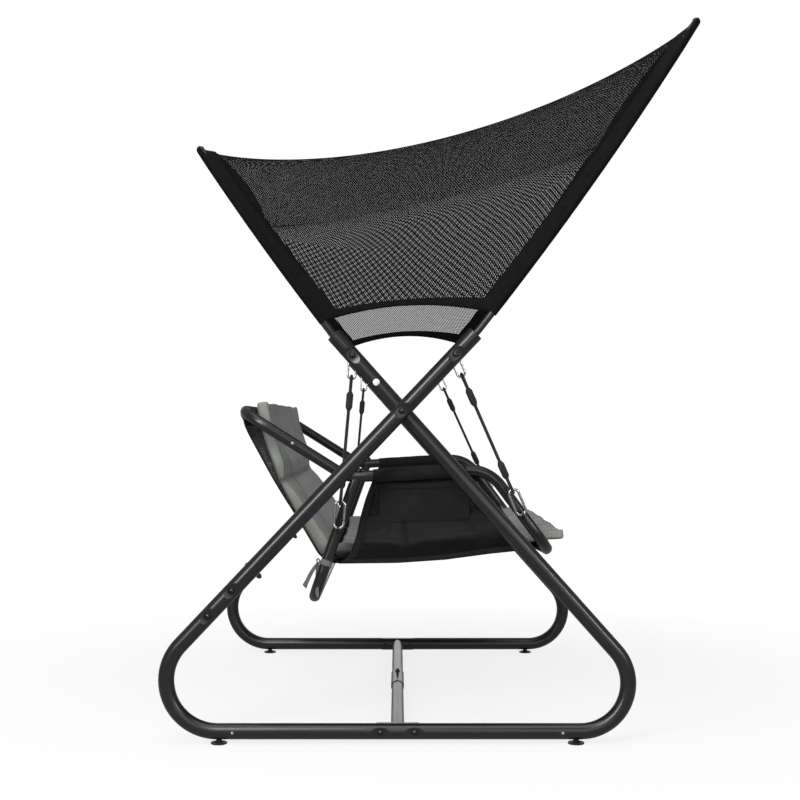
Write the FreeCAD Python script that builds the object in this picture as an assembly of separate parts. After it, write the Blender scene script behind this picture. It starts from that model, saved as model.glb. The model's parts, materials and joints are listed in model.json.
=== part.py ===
import FreeCAD, Part
import math
import os

# Canopy swing bench: two crossed side frames carry a mesh canopy and, on four ropes, a tube seat.
# Millimetres, +Z up, origin under the middle of the bounding box, the bench faces -Y.
# "Forward" is the distance in front of the middle of the base rails: forward = FRONT_SHIFT - y.

# ---- driving dimensions ----
FRONT_SHIFT = 86.17         # forward value at y = 0, which centres the bounding box
SIDE_X = 700.0              # side frames' centre planes, from the middle
TUBE_R = 22.0               # main tube, 44 mm
WALL = 1.6
RAIL_Z = 34.0               # centre height of the base rails
SEAM_F = 426.0              # base rail's seams, each way from forward = 0
SWAGE = 60.0                # length of a reduced tube end
FIT = 0.2                   # radial play of a reduced end in its tube

CROSS_F, CROSS_Z = 12.4, 914.5      # where the two diagonals cross
REAR_ANGLE = math.radians(46.55)    # rear diagonal above the floor
FRONT_ANGLE = math.radians(48.3)    # front leg above the floor
REAR_BEND_R = 140.5
FRONT_BEND_R = 131.5
LEAN = 22.6                 # each tube's sideways offset at the crossing
TOP_Z = 1124.0              # upper ends of the main tubes
REAR_SEAM_Z = 388.0         # seam between rear bend and rear diagonal
JOINT_PITCH = 96.0          # between the two bolts of that seam
HANG_Z = 1068.5             # eye bolts for the ropes

ARM_R = 10.0                # canopy arms, 20 mm
ARM_WALL = 1.5
ARM_GRIP = 110.0            # length of an arm inside its main tube
FRONT_TIP = (814.0, 1976.0) # arm tips: forward, height
REAR_TIP = (-545.0, 1638.0)
FRONT_ARM_START = math.radians(51.6)
REAR_ARM_START = math.radians(52.2)

CLOTH = 2.4                 # canopy sheet's thickness
SHEET_GAP = 17.5            # from an arm's centre line to the sheet's edge
ROOF_SAG = 109.0            # of the roof's side edges between the arm tips
LOWER_FRONT_Z, LOWER_REAR_Z = 1186.0, 1166.0
LOWER_RISE = 36.0           # arch of the side panels' lower edge
WAIST = 95.0                # how far the middle of a side panel pulls in
EDGE_CURVE_FRONT = 0.020    # depth of the free front edge, as a part of the roof's length
EDGE_CURVE_REAR = 0.025

SNAP_F = 452.0              # base snap buttons
SNAP_R = 4.2
SNAP_PROUD = 3.2
PLUG_Z = 994.0              # round hole plug on the front leg's outer side
PLUG_R = 7.5
FOOT_F = 491.0              # levelling feet
FOOT_R = 22.5
BAR_R = 18.5                # crossbars, 37 mm
SADDLE_HALF = 59.0
SADDLE_BOLT_F = 47.0
REAR_BAR_F = -408.0         # rear cross tube, on the rear diagonals
BOLT_R = 4.0

SEAT_X = 600.0              # seat tubes' centre planes
SEAT_R = 16.0               # seat tube, 32 mm
BACK_RAIL = (-438.0, 914.0) # forward, height
ELBOW = (-141.3, 728.1)
ARM_FRONT = (256.6, 751.8)
FRONT_RAIL = (430.0, 519.0)
SEAT_SEAM_F = -274.0        # seam between back bow and front bow
UNDER_BOW_TOP = (-113.9, 733.0)
UNDER_BOW = (-239.0, 382.0)
SEAT_BEND_R = 82.0
REAR_EYE_Z = 584.5          # seat's rope eyes
FRONT_EYE_Z = 625.0
EYE_X = 630.0               # rope eyes' centre planes on the seat
EYE_R, EYE_WIRE = 10.0, 3.0

ROPE_R = 4.8
SLEEVE_R, SLEEVE = 9.8, 52.0
SPLICE = 34.0               # from a hook's wire to the rope's sleeve
UPPER_HOOK = (3.0, 11.0, 19.0)  # wire radius, bend radius, half length between bends
LOWER_HOOK = (4.0, 14.0, 24.0)
GAP = 0.3                   # running gap between pieces
GATE_SHARE = 0.72           # share of a hook's straight side that its gate takes
LINKAGE_PLAY = 2.4          # more room in the front lower eyes, for the swing's open pivot

MESH = 2.0                  # seat mesh's thickness
PANEL_X = 577.0             # side panels' planes
PAD_X = 552.0               # cushion's half width
PAD = 50.0                  # cushion's thickness
SLING_BACK = [(-433.0, 895.0), (-340.0, 699.0), (-226.0, 503.0)]   # mesh's middle line, side view
SLING_PAN = [(-196.0, 479.0), (0.0, 482.0), (135.0, 491.0), (263.0, 508.0), (406.0, 522.0)]
PAD_TOP = [(-396.0, 862.0), (-406.0, 943.0)]    # cushion's back face above the tuft
PAD_REAR = -160.0           # rear end of the seat's cushion
PAD_NOSE = [(385.0, 532.0), (415.0, 543.5), (474.0, 545.0)]        # its underside over the front rail
TUFT_Z = 700.0              # crease between the two back segments
TIE_Z = 484.0               # cushion ties round the under-bow

SIDES = (("right", -1), ("left", 1))


# ---- helpers ----
def at(x, forward, z):
    return FreeCAD.Vector(x, FRONT_SHIFT - forward, z)


def unit(vector):
    return FreeCAD.Vector(vector).normalize()


def rod(start, end, radius):
    return Part.makeCylinder(radius, (end - start).Length, start, end - start)


def rounded_edges(points, radii):
    """Straight runs joined by tangent arcs at the inner points."""
    edges = []
    start = points[0]
    for corner, before, after, radius in zip(points[1:], points, points[2:], radii):
        back = unit(before - corner)
        ahead = unit(after - corner)
        half = back.getAngle(ahead) / 2
        reach = radius / math.tan(half)
        first = corner + back * reach
        last = corner + ahead * reach
        middle = corner + unit(back + ahead) * (radius / math.sin(half) - radius)
        edges.append(Part.LineSegment(start, first).toShape())
        edges.append(Part.Arc(first, middle, last).toShape())
        start = last
    edges.append(Part.LineSegment(start, points[-1]).toShape())
    return edges


def sweep(edges, radius):
    """A round bar along edges, which begin with a straight run or an arc from their first point."""
    first = edges[0]
    origin = first.valueAt(first.FirstParameter)
    circle = Part.makeCircle(radius, origin, first.tangentAt(first.FirstParameter))
    return Part.Wire(edges).makePipeShell([Part.Wire([circle])], True, False)


def dimple(centre, outward, along, radius, depth=5.0, reach=70.0):
    """A pressed recess in a tube: the part of a crosswise drum that dips under the tube's crest."""
    axis = unit(along.cross(outward))
    drum = centre + outward * (radius - depth + reach)
    return Part.makeCylinder(reach, 4 * radius, drum - axis * 2 * radius, axis)


def pipe(edges, radius, wall, dimples=()):
    """A tube along edges. Each dimple is (centre, outward, along)."""
    outer = sweep(edges, radius)
    bore = sweep(edges, radius - wall)
    for centre, outward, along in dimples:
        outer = outer.cut(dimple(centre, outward, along, radius))
        bore = bore.cut(dimple(centre, outward, along, radius, 5.0 + wall, 70.0 + wall))
    return outer.cut(bore)


def save(name, shapes):
    if not isinstance(shapes, (list, tuple)):
        shapes = [shapes]
    solids = [solid for shape in shapes for solid in shape.Solids]
    for solid in solids:
        if not solid.isValid() or solid.Volume <= 0:
            print("CHECK", name, solid.isValid(), round(solid.Volume, 1))
    whole = solids[0] if len(solids) == 1 else Part.Compound(solids)
    whole.exportStep("parts/" + name + ".step")


def button_bolt(seat, inward, length, nut=True, bed=None):
    """Domed bolt whose head stands on the point seat; the shank runs inward to a cap nut.

    Its washer is bent to the dimple bed that it lies in.
    """
    inward = unit(inward)
    dome = Part.makeSphere(9.2, seat + inward * 3.6)
    slab = rod(seat - inward * 5.6, seat, 8.5)
    head = dome.common(slab)
    socket = rod(seat - inward * 7, seat - inward * 2.6, 2.6)
    washer = rod(seat - inward * 0.2, seat + inward * 1.2, 10.0)
    if bed:
        washer = washer.common(bed)
    shank = rod(seat, seat + inward * length, BOLT_R)
    bolt = head.cut(socket).fuse([washer, shank])
    if nut:
        start = seat + inward * (length - 7)
        bolt = bolt.fuse([rod(start, start + inward * 7, 7.5), Part.makeSphere(5.6, start + inward * 7)])
    return bolt


# ---- side frames ----
def lean(z):
    return LEAN * (z - RAIL_Z) / (CROSS_Z - RAIL_Z)


def rear_diagonal_at(side, z):
    """Point on the rear diagonal's centre line, on the outer side of its frame."""
    forward = CROSS_F + (z - CROSS_Z) / math.tan(REAR_ANGLE)
    return at(side * (SIDE_X + lean(z)), forward, z)


def front_leg_at(side, z):
    """Point on the front leg's centre line, on the inner side of its frame."""
    forward = CROSS_F - (z - CROSS_Z) / math.tan(FRONT_ANGLE)
    return at(side * (SIDE_X - lean(z)), forward, z)


def base_rail(side):
    start, end = at(side * SIDE_X, -SEAM_F, RAIL_Z), at(side * SIDE_X, SEAM_F, RAIL_Z)
    along = unit(end - start)
    body = rod(start, end, TUBE_R)
    bore = rod(start + along * 8, end - along * 8, TUBE_R - WALL)
    for forward in (-SADDLE_BOLT_F, SADDLE_BOLT_F):
        spot = at(side * SIDE_X, forward, RAIL_Z)
        outward = FreeCAD.Vector(side, 0, 0)
        body = body.cut(dimple(spot, outward, along, TUBE_R))
        bore = bore.cut(dimple(spot, outward, along, TUBE_R, 5 + WALL, 70 + WALL))
    swage_r = TUBE_R - WALL - FIT
    core = rod(start - along * SWAGE, end + along * SWAGE, swage_r)
    hollow = rod(start - along * SWAGE, end + along * SWAGE, swage_r - WALL)
    rail = body.cut(bore).fuse(core.cut(rod(start + along * 8, end - along * 8, TUBE_R)))
    rail = rail.cut(hollow.common(rod(start - along * SWAGE, start + along * 9, TUBE_R)))
    rail = rail.cut(hollow.common(rod(end - along * 9, end + along * SWAGE, TUBE_R)))
    for forward in (-SADDLE_BOLT_F, SADDLE_BOLT_F):
        spot = at(side * SIDE_X, forward, RAIL_Z)
        rail = rail.cut(rod(spot - FreeCAD.Vector(30, 0, 0), spot + FreeCAD.Vector(30, 0, 0), BOLT_R + 0.1))
    for forward in (-SNAP_F, SNAP_F):
        spot = at(side * SIDE_X, forward, RAIL_Z)
        rail = rail.cut(rod(spot, spot + FreeCAD.Vector(side * 30, 0, 0), SNAP_R + 0.15))
    return rail


def bend_holes(side, sign, tube):
    """Button hole and foot stem hole in a lower bend."""
    button = at(side * SIDE_X, sign * SNAP_F, RAIL_Z)
    tube = tube.cut(rod(button, button + FreeCAD.Vector(side * 30, 0, 0), SNAP_R + 0.15))
    foot = at(side * SIDE_X, sign * FOOT_F, 0)
    return tube.cut(rod(foot, foot + FreeCAD.Vector(0, 0, RAIL_Z), BOLT_R + 0.1))


def bolt_hole(tube, centre, side, radius=BOLT_R + 0.1):
    across = FreeCAD.Vector(side * 40, 0, 0)
    return tube.cut(rod(centre - across, centre + across, radius))


def front_leg(side):
    corner = at(side * SIDE_X, CROSS_F + (CROSS_Z - RAIL_Z) / math.tan(FRONT_ANGLE), RAIL_Z)
    top = front_leg_at(side, TOP_Z)
    edges = rounded_edges([at(side * SIDE_X, SEAM_F + 0.4, RAIL_Z), corner, top], [FRONT_BEND_R])
    along = unit(top - corner)
    cross, hang = front_leg_at(side, CROSS_Z), front_leg_at(side, HANG_Z)
    out = FreeCAD.Vector(side, 0, 0)
    tube = pipe(edges, TUBE_R, WALL, [(cross, out * -1, along), (hang, out, along)])
    tube = bolt_hole(bolt_hole(tube, cross, side), hang, side)
    badge = front_leg_at(side, PLUG_Z)
    tube = tube.cut(rod(badge, badge + out * 40, PLUG_R))
    return bend_holes(side, 1, tube)


def rear_bend(side):
    corner = at(side * SIDE_X, CROSS_F - (CROSS_Z - RAIL_Z) / math.tan(REAR_ANGLE), RAIL_Z)
    seam = rear_diagonal_at(side, REAR_SEAM_Z)
    edges = rounded_edges([at(side * SIDE_X, -SEAM_F - 0.4, RAIL_Z), corner, seam], [REAR_BEND_R])
    along = unit(seam - corner)
    bolt = seam - along * JOINT_PITCH / 2
    tube = pipe(edges, TUBE_R, WALL, [(bolt, FreeCAD.Vector(side, 0, 0), along)])
    return bend_holes(side, -1, bolt_hole(tube, bolt, side))


def rear_diagonal(side):
    top = rear_diagonal_at(side, TOP_Z)
    seam = rear_diagonal_at(side, REAR_SEAM_Z)
    along = unit(top - seam)
    out = FreeCAD.Vector(side, 0, 0)
    bolts = [seam + along * JOINT_PITCH / 2, rear_diagonal_at(side, CROSS_Z), rear_diagonal_at(side, HANG_Z)]
    edges = [Part.LineSegment(seam + along * 0.6, top).toShape()]
    tube = pipe(edges, TUBE_R, WALL, [(spot, out, along) for spot in bolts])
    for spot in bolts:
        tube = bolt_hole(tube, spot, side)
    return tube


def joint_sleeve(side):
    seam = rear_diagonal_at(side, REAR_SEAM_Z)
    along = unit(rear_diagonal_at(side, TOP_Z) - seam)
    out = FreeCAD.Vector(side, 0, 0)
    outer_r = TUBE_R - WALL - FIT
    start, end = seam - along * 100, seam + along * 100
    sleeve = rod(start, end, outer_r)
    bore = rod(start, end, outer_r - 2)
    for step in (-JOINT_PITCH / 2, JOINT_PITCH / 2):
        spot = seam + along * step
        # the sleeve is pressed in with the tube around it
        sleeve = sleeve.cut(dimple(spot, out, along, TUBE_R, 5 + WALL + FIT, 70 + WALL + FIT))
        bore = bore.cut(dimple(spot, out, along, TUBE_R, 7 + WALL + FIT, 72 + WALL + FIT))
    sleeve = sleeve.cut(bore)
    for step in (-JOINT_PITCH / 2, JOINT_PITCH / 2):
        sleeve = bolt_hole(sleeve, seam + along * step, side)
    return sleeve


def frame_bolts(side):
    out = FreeCAD.Vector(side, 0, 0)
    seat_depth = TUBE_R - 5
    lift = out * (seat_depth + 1.2)
    seam = rear_diagonal_at(side, REAR_SEAM_Z)
    along = unit(rear_diagonal_at(side, TOP_Z) - seam)
    bolts = []
    for step in (-JOINT_PITCH / 2, JOINT_PITCH / 2):
        spot = seam + along * step
        bed = dimple(spot, out, along, TUBE_R)
        bolts.append(button_bolt(spot + lift, out * -1, seat_depth + TUBE_R + 9, bed=bed))
    cross = rear_diagonal_at(side, CROSS_Z)
    through = 2 * LEAN + 2 * seat_depth + 9
    bolts.append(button_bolt(cross + lift, out * -1, through, bed=dimple(cross, out, along, TUBE_R)))
    for place in (rear_diagonal_at, front_leg_at):
        spot = place(side, HANG_Z)
        bed = dimple(spot, out, unit(place(side, TOP_Z) - spot), TUBE_R)
        bolts.append(button_bolt(spot + lift, out * -1, seat_depth + TUBE_R + 6, nut=False, bed=bed))
    return bolts


def crossing_spacer(side):
    outer, inner = rear_diagonal_at(side, CROSS_Z), front_leg_at(side, CROSS_Z)
    along_outer = unit(rear_diagonal_at(side, TOP_Z) - outer)
    along_inner = unit(front_leg_at(side, TOP_Z) - inner)
    spacer = rod(outer, inner, 13)
    spacer = spacer.cut(rod(outer - along_outer * 40, outer + along_outer * 40, TUBE_R))
    spacer = spacer.cut(rod(inner - along_inner * 40, inner + along_inner * 40, TUBE_R))
    return spacer.cut(rod(outer, inner, BOLT_R + 0.1))


def hang_x(place, side):
    """Rope eye's distance from the middle, at the top: straight above the seat's eye on the front leg."""
    inner_face = abs(place(side, HANG_Z).x) - TUBE_R
    return EYE_X if place is front_leg_at else inner_face - 22.0


def hang_eye(place, side):
    """A ring with a threaded hub on the inner end of its bolt."""
    spot = place(side, HANG_Z)
    x = hang_x(place, side)
    centre = FreeCAD.Vector(side * x, spot.y, spot.z)
    face = FreeCAD.Vector(side * (abs(spot.x) - TUBE_R - GAP), spot.y, spot.z)
    ring = Part.makeTorus(EYE_R, EYE_WIRE, centre, FreeCAD.Vector(0, 1, 0))
    hub_end = FreeCAD.Vector(side * (x + EYE_R), spot.y, spot.z)
    hub = rod(face, hub_end, 6.5)
    bolt_end = abs(spot.x) - TUBE_R - 6
    hole = rod(face, FreeCAD.Vector(side * (bolt_end - 0.3), spot.y, spot.z), BOLT_R + 0.05)
    return ring.fuse(hub).cut(hole)


def levelling_foot(side, sign):
    def level(z):
        return at(side * SIDE_X, sign * FOOT_F, z)
    pad = rod(level(0), level(4.5), FOOT_R)
    pad = pad.makeFillet(1.2, pad.Edges)
    dome = Part.makeCone(16, 9, 3.5, level(4.4), FreeCAD.Vector(0, 0, 1))
    nut = rod(level(7.8), level(RAIL_Z - TUBE_R - 0.4), 8)
    return pad.fuse([dome, nut, rod(level(7), level(RAIL_Z - 4), BOLT_R)])


def snap_button(spot, out, tube_r):
    """Button with the plate it stands on; out points from the tube's axis through the button."""
    face = tube_r + SNAP_PROUD
    shoulder = tube_r - 2 * WALL - FIT - 2.2
    pin = rod(spot + out * (shoulder - 1), spot + out * (face - 1.5), SNAP_R)
    cap = Part.makeSphere(SNAP_R, spot + out * (face - SNAP_R)).common(
        rod(spot + out * (face - 1.5), spot + out * (face + 1), SNAP_R))
    plate = rod(spot + out * (shoulder - 2.6), spot + out * (shoulder - 1), SNAP_R + 1.2)
    return pin.fuse([cap, plate])


def hole_plug(side):
    spot = front_leg_at(side, PLUG_Z)
    out = FreeCAD.Vector(side, 0, 0)
    disc = Part.makeSphere(24.6, spot - out * 1.0).common(rod(spot + out * 21.2, spot + out * 26, 9.4))
    stem = rod(spot + out * 17, spot + out * 22.4, PLUG_R - 0.3)
    tube = rod(spot - unit(front_leg_at(side, TOP_Z) - spot) * 30,
               spot + unit(front_leg_at(side, TOP_Z) - spot) * 30, TUBE_R)
    return disc.cut(tube).fuse(stem)


# ---- crossbars ----
def saddle(side):
    """Half shell on the inner side of a base rail; the crossbar is welded to it."""
    start, end = at(side * SIDE_X, -SADDLE_HALF, RAIL_Z), at(side * SIDE_X, SADDLE_HALF, RAIL_Z)
    shell = rod(start, end, TUBE_R + 3.2).cut(rod(start, end, TUBE_R + 0.1))
    inner = Part.makeBox(40, 2 * SADDLE_HALF + 2, 2 * 21.5)
    inner.translate(FreeCAD.Vector(side * (SIDE_X - 24) - 20, FRONT_SHIFT - SADDLE_HALF - 1, RAIL_Z - 21.5))
    plate = shell.common(inner)
    for forward in (-SADDLE_BOLT_F, SADDLE_BOLT_F):
        spot = at(side * SIDE_X, forward, RAIL_Z)
        plate = bolt_hole(plate, spot, side)
    return plate


def crossbar_half(side):
    rail_r = TUBE_R + 3.2
    start = at(side * SIDE_X, 0, RAIL_Z)
    if side > 0:
        bar = rod(start, at(-12, 0, RAIL_Z), BAR_R)
        socket = rod(at(105, 0, RAIL_Z), at(-105, 0, RAIL_Z), BAR_R + 2.2)
        taper = Part.makeCone(BAR_R + 2.2, BAR_R, 20, at(105, 0, RAIL_Z), FreeCAD.Vector(1, 0, 0))
        bar = bar.fuse([socket, taper])
        bore = rod(at(SIDE_X, 0, RAIL_Z), at(100, 0, RAIL_Z), BAR_R - WALL)
        bore = bore.fuse(rod(at(101, 0, RAIL_Z), at(-106, 0, RAIL_Z), BAR_R + FIT))
    else:
        bar = rod(start, at(95, 0, RAIL_Z), BAR_R)
        bore = rod(start, at(96, 0, RAIL_Z), BAR_R - WALL)
    bar = bar.cut(bore)
    bar = bar.cut(rod(at(side * SIDE_X, -60, RAIL_Z), at(side * SIDE_X, 60, RAIL_Z), rail_r))
    return bar.cut(rod(at(0, 0, RAIL_Z - 40), at(0, 0, RAIL_Z + 40), BOLT_R + 0.1))


def crossbar_bolts():
    bolts = []
    for _, side in SIDES:
        out = FreeCAD.Vector(side, 0, 0)
        for forward in (-SADDLE_BOLT_F, SADDLE_BOLT_F):
            spot = at(side * SIDE_X, forward, RAIL_Z)
            bed = dimple(spot, out, FreeCAD.Vector(0, 1, 0), TUBE_R)
            bolts.append(button_bolt(spot + out * (TUBE_R - 3.8), out * -1, 2 * TUBE_R + 9, bed=bed))
    lock = at(0, 0, RAIL_Z - BAR_R - 2.2 - 1.2)
    bolts.append(button_bolt(lock, FreeCAD.Vector(0, 0, 1), 2 * BAR_R + 18))
    across = rear_bar_bolt_axis()
    for _, side in SIDES:
        seat = rear_bar_bolt_point(side) - across * (BAR_R + 1.2)
        bolts.append(button_bolt(seat, across, 2 * BAR_R + 12))
    return bolts


def rear_bar_bolt_axis():
    """Square to the rear diagonal, in the plane of the side frames, pointing down and forward."""
    return FreeCAD.Vector(0, -math.sin(REAR_ANGLE), -math.cos(REAR_ANGLE))


def rear_bar_z():
    return CROSS_Z + (REAR_BAR_F - CROSS_F) * math.tan(REAR_ANGLE)


def rear_bar_bolt_point(side):
    return at(side * (SIDE_X - 70), REAR_BAR_F, rear_bar_z())


def rear_crossbar():
    z = rear_bar_z()
    reach = SIDE_X - 40
    bar = rod(at(-reach, REAR_BAR_F, z), at(reach, REAR_BAR_F, z), BAR_R)
    bar = bar.cut(rod(at(-reach, REAR_BAR_F, z), at(reach, REAR_BAR_F, z), BAR_R - WALL))
    return drill_rear_bar(bar)


def drill_rear_bar(shape):
    for _, side in SIDES:
        spot = rear_bar_bolt_point(side)
        across = rear_bar_bolt_axis() * 40
        shape = shape.cut(rod(spot - across, spot + across, BOLT_R + 0.1))
    return shape


def rear_stub(side):
    z = rear_bar_z()
    centre = rear_diagonal_at(side, z)
    along = unit(rear_diagonal_at(side, TOP_Z) - centre)
    radius = BAR_R - WALL - FIT
    start, end = centre, at(side * (SIDE_X - 110), REAR_BAR_F, z)
    stub = rod(start, end, radius).cut(rod(start, end, radius - 2))
    collar = rod(start, at(side * (SIDE_X - 39.5), REAR_BAR_F, z), BAR_R + 3)
    stub = stub.fuse(collar.cut(rod(start, end, radius - 2)))
    stub = stub.cut(rod(centre - along * 60, centre + along * 60, TUBE_R))
    return drill_rear_bar(stub)


# ---- canopy ----
def arm_curve(side, front):
    """Centre line of a canopy arm: a grip inside the main tube, a small bend and one long bow."""
    place = rear_diagonal_at if front else front_leg_at
    start_angle = FRONT_ARM_START if front else REAR_ARM_START
    tip_f, tip_z = FRONT_TIP if front else REAR_TIP
    end = place(side, TOP_Z)
    along = unit(end - place(side, RAIL_Z + 300))
    toward = -1 if front else 1
    heading = FreeCAD.Vector(0, toward * math.cos(start_angle), math.sin(start_angle))
    corner = end + along * 12
    turn = math.pi - along.getAngle(heading)
    radius = 120.0
    reach = radius / math.tan(turn / 2)
    first, leave = corner - along * reach, corner + heading * reach
    middle = corner + unit(heading - along) * (radius / math.sin(turn / 2) - radius)
    tip = at(corner.x, tip_f, tip_z)
    chord = tip - leave
    swing = heading.getAngle(chord)
    bulge = unit(heading - unit(chord) * heading.dot(unit(chord)))
    crown = (leave + tip) * 0.5 + bulge * (chord.Length / 2 * math.tan(swing / 2))
    grip = Part.LineSegment(end - along * ARM_GRIP, first).toShape()
    return [grip, Part.Arc(first, middle, leave).toShape(), Part.Arc(leave, crown, tip).toShape()]


def socket_plug(side, front):
    """Collar in the mouth of a main tube that holds an arm in the middle of it."""
    place = rear_diagonal_at if front else front_leg_at
    end = place(side, TOP_Z)
    along = unit(end - place(side, RAIL_Z + 300))
    rim = rod(end + along * 0.2, end + along * 3, TUBE_R - 0.4)
    plug = rim.fuse(rod(end - along * 24, end + along * 1, TUBE_R - WALL - FIT))
    return plug.cut(sweep(arm_curve(side, front)[:2], ARM_R + 0.1))


def arm_cap(side, front):
    bow = arm_curve(side, front)[-1]
    tip = bow.valueAt(bow.LastParameter)
    along = bow.tangentAt(bow.LastParameter)
    if (tip - bow.valueAt(bow.FirstParameter)).dot(along) < 0:
        along = along * -1
    ball = Part.makeSphere(ARM_R + 1.0, tip + along * 0.6)
    return ball.common(rod(tip + along * 0.2, tip + along * 14, 14))


def arm_at_height(side, front, z):
    """Point on an arm's long bow at height z."""
    bow = arm_curve(side, front)[-1]
    low, high = bow.FirstParameter, bow.LastParameter
    if bow.valueAt(low).z > bow.valueAt(high).z:
        low, high = high, low
    for _ in range(40):
        middle = (low + high) / 2
        if bow.valueAt(middle).z < z:
            low = middle
        else:
            high = middle
    return bow.valueAt(low)


def canopy_sleeve(side, front):
    """Tunnel hem round an arm, from the sheet's lower corner to the tip."""
    start = arm_at_height(side, front, LOWER_FRONT_Z if front else LOWER_REAR_Z)
    bow = arm_curve(side, front)[-1]
    tip = bow.valueAt(bow.LastParameter)
    if tip.z < start.z:
        tip = bow.valueAt(bow.FirstParameter)
    middle = arm_at_height(side, front, (start.z + tip.z) / 2)
    arc = [Part.Arc(start, middle, tip).toShape()]
    return sweep(arc, ARM_R + 2.2).cut(sweep(arc, ARM_R + 0.25))


def canopy_point(s, across, offset):
    """The stretched sheet: s runs from rear arm (0) to front arm (1), across from -1 to 1 over the roof.

    The outer quarters of across are the side panels, the middle half is the roof, and a round
    shoulder joins them. offset moves the point inward, off the outer face.
    """
    side = -1 if across < 0 else 1
    span = abs(across)
    bulge = 4 * s * (1 - s)
    shoulder = 0.045 + 0.22 * bulge
    # height share (0 at the lower edge, 1 at the roof) and width share (1 at the side, 0 in the middle)
    if span > 0.62:
        rise, width = (1 - span) / 0.38 * (1 - shoulder), 1.0
    elif span > 0.38:
        angle = (0.62 - span) / 0.24 * math.pi / 2
        rise = 1 - shoulder + shoulder * math.sin(angle)
        width = 1 - shoulder * 0.9 * (1 - math.cos(angle))
    else:
        rise = 1.0
        width = span / 0.38 * (1 - shoulder * 0.9)
    edge_rear = EDGE_CURVE_REAR * (1 - width ** 2) * rise ** 6
    edge_front = 1 - EDGE_CURVE_FRONT * (1 - width ** 2) * rise ** 6
    s = edge_rear + s * (edge_front - edge_rear)
    bulge = 4 * s * (1 - s)
    rear_z = LOWER_REAR_Z + (REAR_TIP[1] - LOWER_REAR_Z) * rise
    front_z = LOWER_FRONT_Z + (FRONT_TIP[1] - LOWER_FRONT_Z) * rise
    rear = arm_point(side, False, rear_z)
    front = arm_point(side, True, front_z)
    length = (front - rear).Length
    margin = SHEET_GAP / length
    share = margin + s * (1 - 2 * margin)
    point = rear + (front - rear) * share
    pull = WAIST * bulge * (0.35 + 0.65 * math.sin(math.pi * (0.12 + 0.6 * (1 - rise))))
    x = (abs(point.x) - pull * (1 - 0.3 * rise)) * width - offset * width ** 4
    sag = ROOF_SAG * bulge ** 0.85 * rise ** 1.5 if bulge > 0 else 0.0
    crown = 26.0 * (1 - width ** 2) * rise * bulge
    lift = LOWER_RISE * bulge * (1 - rise) ** 2
    z = point.z - sag + lift + crown - offset * (1 - width ** 6) * rise
    return FreeCAD.Vector(side * x, point.y, z)


ARM_CACHE = {}


def arm_point(side, front, z):
    """Point on an arm's bow at height z, from the circle that the bow lies on."""
    key = (side, front)
    if key not in ARM_CACHE:
        bow = arm_curve(side, front)[-1]
        ARM_CACHE[key] = (bow.Curve.Center, bow.Curve.Radius, bow.valueAt(bow.FirstParameter).x)
    centre, radius, x = ARM_CACHE[key]
    reach = math.sqrt(radius ** 2 - (z - centre.z) ** 2)
    middle = arm_at_height(side, front, (LOWER_FRONT_Z + REAR_TIP[1]) / 2)
    toward = 1 if middle.y > centre.y else -1
    return FreeCAD.Vector(x, centre.y + toward * reach, z)


def canopy_arm(side, front):
    place = rear_diagonal_at if front else front_leg_at
    return bolt_hole(pipe(arm_curve(side, front), ARM_R, ARM_WALL), place(side, HANG_Z), side)


def sheet_face(offset, rows, columns):
    grid = []
    for i in range(rows + 1):
        grid.append([canopy_point(i / rows, -1 + 2 * j / columns, offset) for j in range(columns + 1)])
    surface = Part.BSplineSurface()
    surface.interpolate(grid)
    return surface


def canopy_fabric():
    outer, inner = sheet_face(0.0, 16, 44), sheet_face(CLOTH, 16, 44)
    faces = [outer.toShape(), inner.toShape()]
    ends = outer.bounds()
    for make in ("uIso", "vIso"):
        for value in (ends[0:2] if make == "uIso" else ends[2:4]):
            one = getattr(outer, make)(value).toShape()
            two = getattr(inner, make)(value).toShape()
            faces.append(Part.makeRuledSurface(one, two))
    shell = Part.makeShell(faces)
    shell.sewShape()
    solid = Part.Solid(shell)
    if solid.Volume < 0:
        solid = Part.Solid(shell.reversed())
    return solid


# ---- seat frame ----
def seat_at(side, place, x=SEAT_X):
    return at(side * x, place[0], place[1])


def on_side_tube(forward):
    share = (forward - BACK_RAIL[0]) / (ELBOW[0] - BACK_RAIL[0])
    return (forward, BACK_RAIL[1] + share * (ELBOW[1] - BACK_RAIL[1]))


def seat_front_bow():
    points, radii = [], []
    seam = on_side_tube(SEAT_SEAM_F)
    for side in (-1, 1):
        run = [seam, ELBOW, ARM_FRONT, FRONT_RAIL]
        bends = [95.0, 110.0, SEAT_BEND_R]
        points += [seat_at(side, place) for place in (run if side < 0 else run[::-1])]
        radii += bends if side < 0 else bends[::-1]
    edges = rounded_edges(points, radii)
    tube = pipe(edges, SEAT_R, WALL)
    for side in (-1, 1):
        down = unit(seat_at(side, ELBOW) - seat_at(side, seam))
        tip = seat_at(side, seam)
        inner_r = SEAT_R - WALL - FIT
        swage = rod(tip - down * 50, tip + down * 6, inner_r)
        ring = rod(tip + down * 0.01, tip + down * 6, SEAT_R - 0.2)
        swage = swage.fuse(ring).cut(rod(tip - down * 50, tip + down * 6, inner_r - WALL))
        tube = tube.fuse(swage)
        tube = seat_snap_hole(tube, side)
        top, down = bow_bolt_line(side)
        tube = tube.cut(rod(top - down * 40, top + down * 40, BOLT_R + 0.1))
    return tube


def seat_snap_spot(side):
    return seat_at(side, on_side_tube(SEAT_SEAM_F - 22))


def seat_snap_hole(shape, side):
    spot = seat_snap_spot(side)
    return shape.cut(rod(spot, spot + FreeCAD.Vector(side * 25, 0, 0), SNAP_R + 0.15))


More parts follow.
